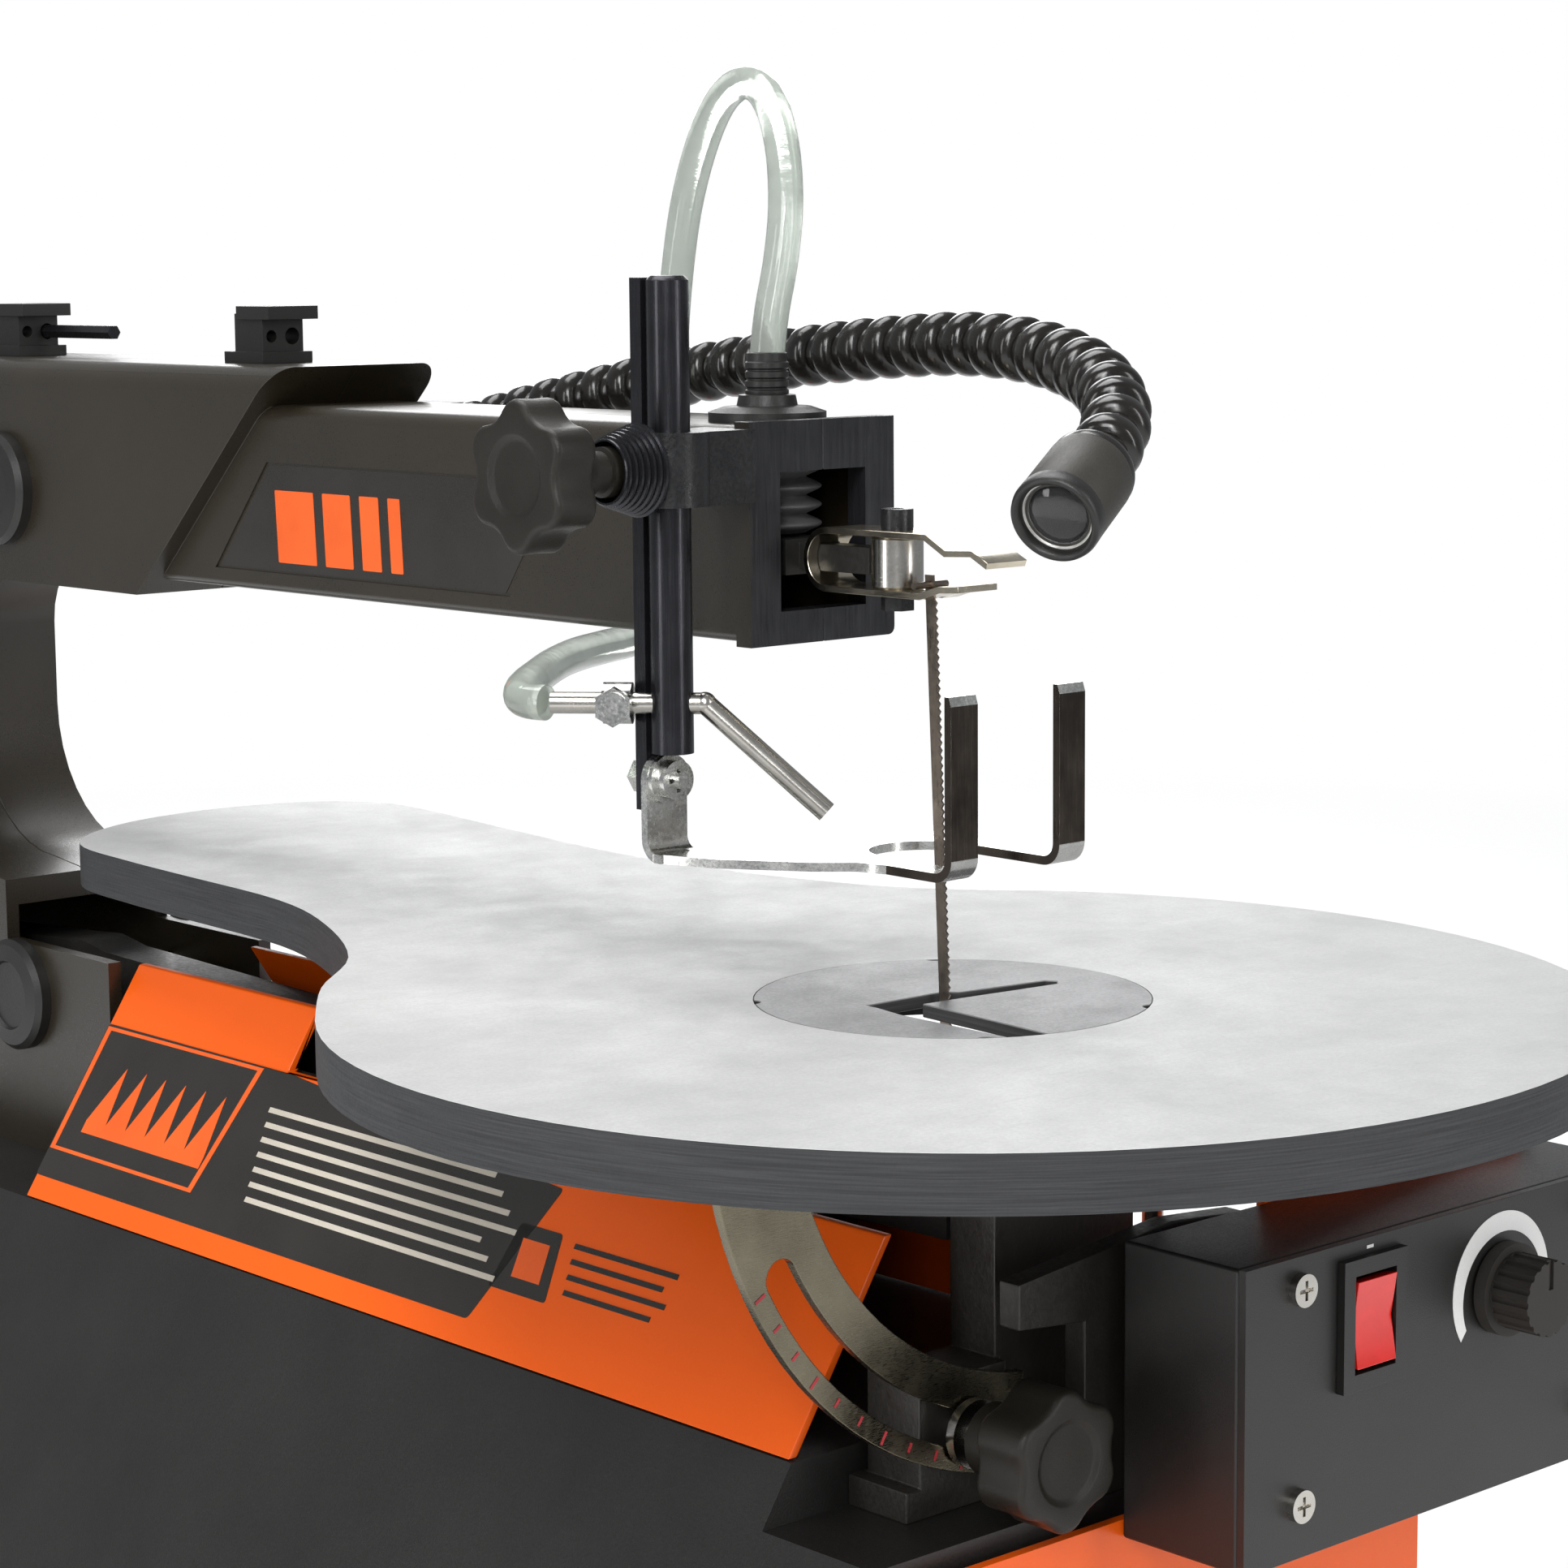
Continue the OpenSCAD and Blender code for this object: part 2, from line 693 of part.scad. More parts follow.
module upper_arm() {
  z = pivot_up;
  color("#3a3a3a")
    saw_frame()
      difference() {
        beam([[23, 92.2], [46, 92.2], [46, 91], [90, 91], [340, 88], [353, 86], [366, 88],
          [rod_y + 6, 94], [rod_y + 6, 105], [366, 111], [353, 112], [340, 110], [100, 106],
          [78, 99], [46, 99], [46, 98.2], [23, 98.2]], 7, [[pivot_y, z, 9]]);
        for (x = [-8, 2.9])
          box([x, 20, 80], [x + 5.1, 46, 110]);
        box([-4.4, rod_y - 12, 80], [4.4, rod_y + 10, 120]);
        rod_x(-8, 8, rod_y, z, 2.5);
      }
}

module upper_bushing() {
  color("#b08d4a")
    saw_frame()
      difference() {
        rod_x(-9, 9, pivot_y, pivot_up, 9);
        rod_x(-10, 10, pivot_y, pivot_up, 6 + run);
      }
}

clip_mid = [0, 17, 95.7];

// Spring-steel strip bent round the arm's end, with two press tabs at the front.
module blade_clip() {
  t = 1.4;
  color("#b5b1a8")
    saw_frame()
      difference() {
        prism_x(concat(
          [[-17, 97.2], [-12, 99.6], [-4, 99.2], [2, 102.4], [34, 102.4]],
          arc([34, 95.2], 7.2, 90, -90, 14),
          [[34, 88], [4, 88], [-2, 89.8], [-8, 90.2], [-8, 91.6], [-1.6, 91.2],
          [4.4, 89.4], [34, 89.4]],
          arc([34, 95.2], 5.8, -90, 90, 14),
          [[34, 101], [2.6, 101], [-3.6, 97.8], [-11.6, 98.2], [-16.4, 95.8]]), -6, 6);
        rod_z(80, 110, 0, clip_mid[1], 2.1);
        box([-0.9, 2.5, 80], [0.9, 10.5, 96]);
        box([-3, 36, 92], [3, 44, 98.4]);
      }
}

module clip_roller() {
  color("#9c9a94")
    saw_frame()
      translate([0, clip_mid[1], 89.4])
        rotate_extrude($fn = 48)
          polygon([[2.1, 0], [5.2, 0], [5.8, 0.6], [5.8, 11], [5.2, 11.6], [2.1, 11.6]]);
}

module clip_screw() {
  color("#34322f")
    saw_frame()
      translate([0, clip_mid[1], 0])
        union() {
          translate([0, 0, 85.5]) cylinder(h = 18, r = 2.05, $fn = 32);
          translate([0, 0, 102.4])
            difference() {
              cylinder(h = 4.6, r = 3.6, $fn = 32);
              translate([0, 0, 2]) cylinder(h = 4, r = 1.6, $fn = 6);
            }
          translate([0, 0, 84.6]) cylinder(h = 3.4, r = 3.8, $fn = 6);
        }
}

module lower_arm() {
  z = -pivot_low;
  color("#3a3a3a")
    saw_frame()
      difference() {
        beam([[-5, -53], [90, -55], [200, -60], [230, -60], [340, -57], [353, -59],
          [366, -57], [rod_y + 6, -51], [rod_y + 6, -40], [366, -34], [353, -33],
          [340, -35], [120, -40], [90, -41.5], [-5, -41.5]], 7,
          [[pivot_y, z, 9], [rod_y, z, 2.5], [link_y, -54, 2.5]]);
        box([-4.4, rod_y - 12, -70], [4.4, rod_y + 10, -30]);
        box([-4.4, link_y - 9, -70], [4.4, link_y + 9, -46]);
      }
}

module lower_bushing() {
  color("#b08d4a")
    saw_frame()
      difference() {
        rod_x(-9, 9, pivot_y, -pivot_low, 9);
        rod_x(-10, 10, pivot_y, -pivot_low, 6 + run);
      }
}

// Hook on the front of the lower arm; the blade's cross pin sits in it.
module lower_blade_holder() {
  color("#8f8d88")
    saw_frame()
      difference() {
        prism_x([[-5, -41.49], [8, -41.49], [8, -38], [4.5, -34.5], [2.2, -35.6],
          [2.2, -38.2], [-0.2, -38.2], [-0.2, -35.6], [-2.5, -34.5], [-5, -36]], -6, 6);
        box([-0.9, -6, -41], [0.9, 9, -30]);
      }
}

// Upright link between the rear ends of the two arms, with a threaded top.
module tension_rod() {
  color("#9a9a97")
    saw_frame()
      union() {
        rod_z(-pivot_low, frame_top + 22, 0, rod_y, 3.5);
        rod_x(-6.9, 6.9, rod_y, pivot_up, 2.45);
        rod_x(-6.9, 6.9, rod_y, -pivot_low, 2.45);
      }
}

module tension_knob() {
  color("#1a1817")
    saw_frame()
      translate([0, rod_y, frame_top + 5])
        difference() {
          union() {
            cylinder(h = 6, r = 8, $fn = 40);
            translate([0, 0, 6]) lobed_knob(19, 17, 6);
          }
          translate([0, 0, -eps]) cylinder(h = 18, r = 3.5 + run, $fn = 40);
        }
}

// y of the blade's back edge at a height z: it leans back a little.
function blade_y(z) = 2.7 + 0.0443 * z;

module saw_blade() {
  z0 = -40;
  z1 = 93;
  teeth = floor(115 / tooth_pitch);
  front = [for (i = [0:teeth]) let (z = -27 + i * tooth_pitch)
    each [[blade_y(z) - blade_w / 2 - 0.7, z], [blade_y(z) - blade_w / 2, z + 0.7]]];
  color("#8d8780")
    saw_frame()
      prism_x(concat([[blade_y(z0) - blade_w / 2, z0]], front,
        [[blade_y(z1) - blade_w / 2, z1], [blade_y(z1) + blade_w / 2, z1],
        [blade_y(z0) + blade_w / 2, z0]]), -blade_t / 2, blade_t / 2);
}

module blade_pins() {
  color("#8d8780")
    saw_frame()
      for (z = [-37, 90.8])
        rod_x(-5, 5, blade_y(z), z, 0.8);
}

// ---- drive ----

// Upright link from the lower arm to the crank; its lower eye is left wide open.
module drive_link() {
  color("#8b8b88")
    saw_frame()
      difference() {
        union() {
          box([-4, link_y - 5, -motor_z + 10], [4, link_y + 5, -54]);
          rod_x(-4, 4, link_y, -54, 5);
          rod_x(-4, 4, link_y, -motor_z, 15);
          rod_x(-6.9, 6.9, link_y, -54, 2.45);
        }
        rod_x(-5, 5, link_y, -motor_z, 10.5);
      }
}

module eccentric() {
  color("#6d6d6b")
    saw_frame()
      union() {
        rod_x(-5, 6, link_y - crank_r, -motor_z, 4);
        translate([6, link_y, -motor_z])
          rotate([0, 90, 0])
            difference() {
              cylinder(h = 9, r = 18, $fn = 60);
              translate([-24, -20, 3]) cube([20, 40, 10]);
            }
        rod_x(14, 58, link_y, -motor_z, 5);
      }
}

module motor_body() {
  color("#565656")
    saw_frame()
      difference() {
        union() {
          rod_x(30.5, 118, link_y, -motor_z, motor_r);
          for (i = [0:11])
            translate([40, link_y, -motor_z])
              rotate([30 * i, 0, 0])
                translate([0, -1.5, motor_r - 2]) cube([60, 3, 3.5]);
        }
        rod_x(30, 60, link_y, -motor_z, 5 + run);
      }
}

module motor_end_cap() {
  color("#2b2b2b")
    saw_frame()
      difference() {
        rod_x(118.02, 130, link_y, -motor_z, motor_r);
        for (i = [0:7])
          translate([122, link_y, -motor_z])
            rotate([45 * i, 0, 0])
              translate([0, -3, 14]) cube([12, 6, 18]);
      }
}

// ---- table ----

table_front = arc([0, -3], table_r, 145, 396, 64);
table_back = smooth([[114.5, 80.2], [100, 97], [87, 120], [77, 160], [74, 206], [79, 259],
  [85, 310], [83, 331], [70, 346], [46, 354], [25, 354], [5, 349], [-14, 337], [-25, 320],
  [-29, 290], [-31, 264], [-35, 210], [-47, 172], [-68, 133], [-94, 107], [-115.9, 78.2]], 5);
table_edge = concat(table_front, [for (i = [1:len(table_back) - 2]) table_back[i]]);

table_screw_at = [[-22, -19], [22, -19]];

module table() {
  mid = [6, 60];
  color("#c9c9c6")
    saw_frame()
      difference() {
        translate([0, 0, -table_rim]) linear_extrude(table_rim) polygon(table_edge);
        difference() {
          translate([0, 0, -table_rim - 1])
            linear_extrude(table_rim - 6)
              polygon([for (q = table_edge) mid + 0.93 * (q - mid)]);
          rod_z(-table_rim - 2, 0, 0, 0, insert_r + 8);
          box([-40, -70, -20], [40, -10, 0]);
          box([-150, -34, -20], [150, -26, 0]);
          for (y = [70, 130, 200, 270])
            box([-150, y - 2, -20], [150, y + 2, 0]);
          box([24, -150, -20], [28, 360, 0]);
        }
        rod_z(-insert_t, 1, 0, 0, insert_r + 0.1);
        rod_z(-table_rim - 1, 1, 0, 0, insert_r - 5);
        for (q = table_screw_at)
          rod_z(-table_rim - 1, -7.9, q[0], q[1], 2.5);
      }
}

module table_insert() {
  r = insert_r;
  color("#adadaa")
    saw_frame()
      difference() {
        rod_z(-insert_t + 0.02, 0, 0, 0, r);
        for (a = [143, -58, 51, -125])
          translate([(r + 0.6) * cos(a), (r + 0.6) * sin(a), -insert_t - 1])
            cylinder(h = insert_t + 2, r = 2, $fn = 24);
        translate([0, 0, -insert_t - 1])
          linear_extrude(insert_t + 2)
            union() {
              polygon([[-20, 6.4], [2, 5.6], [5, 2.6], [28, -1.4], [29.4, -3.6], [27.4, -5.8], [-4, -1.6],
                [-20, 0]]);
              polygon([[-20, 3], [-10, 3], [-11, -12], [-13.5, -r - 2], [-21.5, -r - 2],
                [-21.5, -6]]);
            }
      }
}

// Arc band with a curved slot, hanging under the left side of the table.
module bevel_bracket() {
  a0 = 200;
  a1 = 263;
  color("#7d7666")
    saw_frame()
      difference() {
        prism_y(concat(arc([0, 0], bevel_r + 9, a0 - 4, a1, 18),
          arc([0, 0], bevel_r - 13, a1, a0 - 8, 18), [[-76, -table_rim], [-99, -table_rim]]),
          -31.2, -28.8);
        prism_y(concat(arc([0, 0], bevel_r + 4, 253 - tilt_max, 253, 14),
          arc([0, 0], bevel_r - 4, 253, 253 - tilt_max, 14)), -32, -28);
        for (a = [253 - tilt_max, 253])
          rod_y(-32, -28, bevel_r * cos(a), bevel_r * sin(a), 4);
      }
}

module trunnion_rocker() {
  color("#3c3a38")
    saw_frame()
      difference() {
        intersection() {
          rod_y(-26, -12, 0, 0, trunnion_r);
          box([-34, -27, -trunnion_r], [34, -11, -table_rim - 0.01]);
        }
        for (q = table_screw_at)
          rod_z(-40, -10, q[0], q[1], 2.5);
      }
}

module table_screws() {
  color("#8d8d8a")
    saw_frame()
      union()
        for (q = table_screw_at)
          rod_z(-23, -8, q[0], q[1], 2.5);
}

module table_lock_bolt() {
  color("#a2a2a0")
    saw_frame()
      union() {
        rod_y(-56, -12, bolt_x, bolt_z, 3.15);
        rod_y(-34.2, -32, bolt_x, bolt_z, 7.5);
      }
}

module table_lock_knob() {
  color("#1a1817")
    saw_frame()
      difference() {
        translate([bolt_x, -38, bolt_z])
          rotate([90, 0, 0])
            union() {
              cylinder(h = 10, r = 8, $fn = 40);
              translate([0, 0, 9]) lobed_knob(15.5, 14, 6);
            }
        rod_y(-57, -37, bolt_x, bolt_z, 3.15 + run);
      }
}

// Stop screw under the right side of the table.
module levelling_screw() {
  color("#9b9b98")
    saw_frame()
      union() {
        rod_z(step_z + 7.02, -table_rim - 1, 46, -18, 2.5);
        translate([46, -18, step_z + 7.02]) cylinder(h = 4, r = 5, $fn = 6);
        rod_z(-table_rim - 4, -table_rim - 0.4, 46, -18, 4.5);
      }
}

// ---- controls ----

dial_at = [88, -66];
rocker_at = [42, -64];

module control_box() {
  color("#1d1b19")
    saw_frame()
      difference() {
        box([panel_x0, box_front + 2, panel_top - 66], [panel_x1, -49.52, panel_top]);
        box([panel_x0 + 3, box_front, panel_top - 63], [panel_x1 - 3, -52, panel_top - 3]);
      }
}

module face_plate() {
  color("#201d1b")
    saw_frame()
      difference() {
        box([panel_x0, box_front, panel_top - 66], [panel_x1, box_front + 1.98, panel_top]);
        box([rocker_at[0] - 8.5, -90, rocker_at[1] - 12.5],
          [rocker_at[0] + 8.5, -80, rocker_at[1] + 12.5]);
        rod_y(-90, -80, dial_at[0], dial_at[1], 4.2);
        for (q = panel_screw_at)
          rod_y(-90, -80, q[0], q[1], 2);
      }
}

panel_screw_at = [[19, -53], [120, -53], [19, -100], [120, -100]];

module panel_screws() {
  color("#b4b4b2")
    saw_frame()
      for (q = panel_screw_at) {
        translate([q[0], box_front, q[1]]) rotate([90, 0, 0]) screw_head(3.6, 2);
        rod_y(box_front - eps, box_front + 8, q[0], q[1], 1.95);
      }
}

module switch_bezel() {
  color("#141414")
    saw_frame()
      translate([rocker_at[0], 0, rocker_at[1]])
        difference() {
          union() {
            box([-10.5, box_front - 2, -14.5], [10.5, box_front - 0.02, 14.5]);
            box([-8.4, box_front - 1, -12.4], [8.4, box_front + 14, 12.4]);
          }
          box([-6.8, box_front - 3, -10.8], [6.8, box_front + 12, 10.8]);
          rod_x(-8, 8, box_front + 4, 0, 1.2);
        }
}

module power_switch() {
  y = box_front + 4;
  color("#d3241c")
    saw_frame()
      translate([rocker_at[0], 0, rocker_at[1]])
        difference() {
          union() {
            prism_x([[y + 4, -5], [y + 4, 5], [y - 3, 9.2], [y - 6.5, 9.6], [y - 5, 0],
              [y - 6.5, -9.6], [y - 3, -9.2]], -6.4, 6.4);
            rod_x(-7.9, 7.9, y, 0, 1.12);
          }
          rod_x(6.6, 9, y, 0, 0.3);
        }
}

module speed_knob() {
  color("#121212")
    saw_frame()
      translate([dial_at[0], box_front - 0.6, dial_at[1]])
        rotate([90, 0, 0])
          difference() {
            union() {
              cylinder(h = 3, r = 10.5, $fn = 60);
              cylinder(h = 13, r = 8.6, $fn = 48);
              translate([0, 0, -8]) cylinder(h = 8.5, r = 3.6, $fn = 32);
            }
            for (i = [0:17])
              rotate([0, 0, 20 * i]) translate([9, 0, 3.5]) cylinder(h = 12, r = 0.9, $fn = 16);
            translate([-0.8, 2, 12.2]) cube([1.6, 8, 2]);
          }
}

// ---- work light ----

// Heading and climb of the bead chain at a length s from its start.
function light_az(s) = -80 - 14 * min(s / 150, 1) - 77 * pow(max(s - 156, 0) / 150, 2.3);
function light_el(s) = s < 178 ? 14 - 11.3 * s / 178 : 2.7 - 19.6 * (s - 178) / 85;
function light_dir(s) = [cos(light_el(s)) * cos(light_az(s)),
  cos(light_el(s)) * sin(light_az(s)), sin(light_el(s))];
light_start = [31.5, 218, 116];
function light_at(i) = i < 0 ? light_start - bead_pitch * light_dir(-0.5 * bead_pitch)
  : i == 0 ? light_start
  : light_at(i - 1) + bead_pitch * light_dir((i - 0.5) * bead_pitch);

// Place children at bead i, with +z along the chain.
module on_bead(i) {
  s = (i + 0.5) * bead_pitch;
  translate(light_at(i)) rotate([0, 90 - light_el(s), light_az(s)]) children();
}

// Half section of the socket that holds the next ball, one pitch ahead.
module bead_socket() {
  h = bead_pitch;
  polygon(concat([[0, 3], [3.4, 3], [6.2, 4.2], [bead_r - 0.4, 5.4], [bead_r, 6.8],
    [bead_r, 8.4], [bead_r - 0.7, h + 0.4], [5.25, h + 0.4]],
    arc([0, h], 5.3, 0, -90, 8)));
}

// One bead: a ball and, ahead of it, the socket of the next ball.
module bead() {
  rotate_extrude($fn = 40)
    union() {
      polygon(concat(arc([0, 0], 5.2, -90, 45, 12), [[0, 3.7]]));
      bead_socket();
    }
}

// A run of beads; inside a run each ball is made one with the socket round it.
module beads(i0, i1) {
  union()
    for (i = [i0:i1])
      on_bead(i) {
        bead();
        if (i < i1)
          translate([0, 0, bead_pitch - 5.6]) cylinder(h = 2, r = 2.4, $fn = 32);
      }
}

light_mid = 10;
light_far = 20;

// Bracket on the arm housing with the first socket.
module gooseneck_base() {
  color("#161616")
    saw_frame()
      union() {
        box([arm_w2 + eps, 224.5, 106], [arm_w2 + 17, 229.5, 124]);
        box([frame_w2 + eps, 229, 106], [arm_w2 + 17, 246, 124]);
        on_bead(-1) rotate_extrude($fn = 40) bead_socket();
      }
}

module gooseneck_back() {
  color("#121212") saw_frame() beads(0, light_mid - 1);
}

module gooseneck_middle() {
  color("#121212") saw_frame() beads(light_mid, light_far - 1);
}

// Last beads and the lamp barrel with its lens.
module lamp_head() {
  color("#201d1d")
    saw_frame()
      union() {
        beads(light_far, bead_n - 1);
        on_bead(bead_n - 1)
          translate([0, 0, bead_pitch - 5.6]) cylinder(h = 2, r = 2.4, $fn = 32);
        on_bead(bead_n) {
          rotate_extrude($fn = 60)
            polygon(concat(arc([0, 0], 5.2, -90, 45, 12), [[7, 3.7], [9.4, 6], [9.6, 28],
              [9, 29], [7.2, 29], [6.8, 25], [4, 27.5], [0, 28.5]]));
        }
      }
}

base_casting();
front_support();
left_side_panel();
right_side_panel();
motor_cover();
front_panel();
frame_left();
frame_right();
frame_screws();
pivot_caps();
pivot_pins();
tool_clips();
hex_wrench();
cord_gland();
hose_fitting();
pump_bellows();
air_hose();
foot_clamp();
foot_lock_knob();
foot_rod();
guide_bar();
forked_foot();
foot_screw();
blower_tube();
blower_collar();
blower_screw();
upper_arm();
upper_bushing();
blade_clip();
clip_roller();
clip_screw();
lower_arm();
lower_bushing();
lower_blade_holder();
tension_rod();
tension_knob();
saw_blade();
blade_pins();
drive_link();
eccentric();
motor_body();
motor_end_cap();
table();
table_insert();
table_screws();
bevel_bracket();
trunnion_rocker();
table_lock_bolt();
table_lock_knob();
levelling_screw();
control_box();
face_plate();
switch_bezel();
power_switch();
speed_knob();
panel_screws();
gooseneck_base();
gooseneck_back();
gooseneck_middle();
lamp_head();
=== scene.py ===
# Scroll saw: looks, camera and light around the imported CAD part.
# Lengths are millimetres from the insert's centre, except where a line says metres.
import json
import math

import bmesh
import bpy
from mathutils import Matrix, Vector
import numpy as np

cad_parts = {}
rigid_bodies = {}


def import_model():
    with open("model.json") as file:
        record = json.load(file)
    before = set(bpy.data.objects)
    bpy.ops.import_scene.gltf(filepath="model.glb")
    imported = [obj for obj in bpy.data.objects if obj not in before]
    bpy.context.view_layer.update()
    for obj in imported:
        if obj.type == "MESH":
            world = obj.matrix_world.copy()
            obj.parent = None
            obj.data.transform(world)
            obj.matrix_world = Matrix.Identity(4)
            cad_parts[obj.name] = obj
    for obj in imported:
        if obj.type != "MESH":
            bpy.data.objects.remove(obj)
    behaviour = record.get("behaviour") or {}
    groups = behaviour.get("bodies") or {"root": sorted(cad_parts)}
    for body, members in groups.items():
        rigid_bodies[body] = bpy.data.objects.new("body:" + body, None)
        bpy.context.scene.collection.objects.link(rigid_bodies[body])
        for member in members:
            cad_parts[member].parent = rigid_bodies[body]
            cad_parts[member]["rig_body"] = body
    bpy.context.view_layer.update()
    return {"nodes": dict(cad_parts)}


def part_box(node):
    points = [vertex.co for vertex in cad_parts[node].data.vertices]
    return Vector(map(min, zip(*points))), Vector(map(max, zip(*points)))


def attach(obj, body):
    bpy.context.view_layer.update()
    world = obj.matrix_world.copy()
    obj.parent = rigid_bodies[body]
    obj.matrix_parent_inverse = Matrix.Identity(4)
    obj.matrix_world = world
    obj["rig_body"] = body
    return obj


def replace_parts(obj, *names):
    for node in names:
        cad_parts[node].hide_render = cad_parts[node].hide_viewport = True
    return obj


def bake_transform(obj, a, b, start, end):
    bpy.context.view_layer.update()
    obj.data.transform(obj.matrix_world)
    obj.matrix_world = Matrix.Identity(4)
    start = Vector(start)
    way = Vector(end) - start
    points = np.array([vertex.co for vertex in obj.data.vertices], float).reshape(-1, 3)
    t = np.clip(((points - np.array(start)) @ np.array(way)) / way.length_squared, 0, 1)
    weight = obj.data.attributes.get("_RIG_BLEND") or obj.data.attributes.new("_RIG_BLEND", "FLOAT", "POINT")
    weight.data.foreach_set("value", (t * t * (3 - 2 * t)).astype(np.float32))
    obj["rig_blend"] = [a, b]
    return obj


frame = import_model()
scene = bpy.context.scene
links = scene.collection.objects
nodes = frame["nodes"]

INSERT_Y, TABLE_TOP = -0.19, 0.205      # the insert's centre in the row frame, metres
ROD_X, ROD_Y = -41, 46                  # the drop foot's round rod
CLAMP_Z = 116.6                         # axis of the drop foot's clamp and its knob
HOSE_Y = 59.6                           # axis of the bellows and of the hose fitting
TILT_FROM = 253                         # where the tilt scale and its lock stand, degrees


def P(x, y, z):
    """A point given in millimetres from the insert's centre, in the row frame."""
    return Vector((x / 1000, y / 1000 + INSERT_Y, z / 1000 + TABLE_TOP))


def T(v):
    """The other way: a point of the row frame in millimetres from the insert's centre."""
    return v.x * 1000, (v.y - INSERT_Y) * 1000, (v.z - TABLE_TOP) * 1000


def polar(r, degrees):
    a = math.radians(degrees)
    return r * math.cos(a), r * math.sin(a)


def arc(cx, cy, r, a0, a1, n):
    steps = [polar(r, a0 + (a1 - a0) * k / n) for k in range(n + 1)]
    return [(cx + x, cy + y) for x, y in steps]

# ---- camera ----

def aim(obj, where, target, roll=0.0):
    """Turn obj at where to look at target; both are in metres."""
    back = (Vector(where) - Vector(target)).normalized()
    right = Vector((0, 0, 1)).cross(back).normalized()
    up = back.cross(right)
    c, s = math.cos(roll), math.sin(roll)
    right, up = right * c + up * s, up * c - right * s
    m = Matrix((right, up, back)).transposed().to_4x4()
    m.translation = Vector(where)
    obj.matrix_world = m


cam_data = bpy.data.cameras.new("camera")
cam_data.lens = 85.56
cam_data.sensor_width = 36
cam_data.clip_start = 0.01
cam_data.clip_end = 50
camera = bpy.data.objects.new("camera", cam_data)
links.link(camera)
aim(camera, (-0.56793, -0.76564, 0.36874), (-0.0218, -0.1592, 0.2516), math.radians(-0.496))
scene.camera = camera

# ---- materials ----


class Graph:
    """One material's node tree."""

    def __init__(self, name):
        self.mat = bpy.data.materials.new(name)
        self.mat.use_nodes = True
        self.t = self.mat.node_tree
        self.bsdf = self.t.nodes["Principled BSDF"]
        tc = self.t.nodes.new("ShaderNodeTexCoord")
        self.obj, self.nrm = tc.outputs["Object"], tc.outputs["Normal"]

    def link(self, a, b):
        self.t.links.new(a, b)

    def set(self, **kw):
        for k, v in kw.items():
            self.bsdf.inputs[k.replace("_", " ")].default_value = v

    def scaled(self, s, turn=(0, 0, 0)):
        m = self.t.nodes.new("ShaderNodeMapping")
        m.inputs["Scale"].default_value = s
        m.inputs["Rotation"].default_value = turn
        self.link(self.obj, m.inputs["Vector"])
        return m.outputs["Vector"]

    def noise(self, scale, detail=4, rough=0.55, vec=None, distort=0.0):
        n = self.t.nodes.new("ShaderNodeTexNoise")
        n.inputs["Scale"].default_value = scale
        n.inputs["Detail"].default_value = detail
        n.inputs["Roughness"].default_value = rough
        n.inputs["Distortion"].default_value = distort
        self.link(vec or self.obj, n.inputs["Vector"])
        return n.outputs["Fac"]

    def remap(self, v, a, b, c, d):
        m = self.t.nodes.new("ShaderNodeMapRange")
        for i, x in zip(("From Min", "From Max", "To Min", "To Max"), (a, b, c, d)):
            m.inputs[i].default_value = x
        self.link(v, m.inputs["Value"])
        return m.outputs["Result"]

    def math(self, op, a, b):
        m = self.t.nodes.new("ShaderNodeMath")
        m.operation = op
        for i, x in enumerate((a, b)):
            if isinstance(x, (int, float)):
                m.inputs[i].default_value = x
            else:
                self.link(x, m.inputs[i])
        return m.outputs[0]

    def mix(self, fac, a, b, kind="MIX"):
        m = self.t.nodes.new("ShaderNodeMix")
        m.data_type = "RGBA"
        m.blend_type = kind
        for i, x in ((0, fac), (6, a), (7, b)):
            if isinstance(x, tuple):
                m.inputs[i].default_value = (*x[:3], 1)
            elif isinstance(x, (int, float)):
                m.inputs[i].default_value = x
            else:
                self.link(x, m.inputs[i])
        return m.outputs[2]

    def bump(self, h, dist, base=None):
        b = self.t.nodes.new("ShaderNodeBump")
        b.inputs["Distance"].default_value = dist
        b.inputs["Strength"].default_value = 1.0
        self.link(h, b.inputs["Height"])
        if base is not None:
            self.link(base, b.inputs["Normal"])
        return b.outputs["Normal"]


def shade(c, k):
    return tuple(min(1.0, max(0.0, x * k)) for x in c)


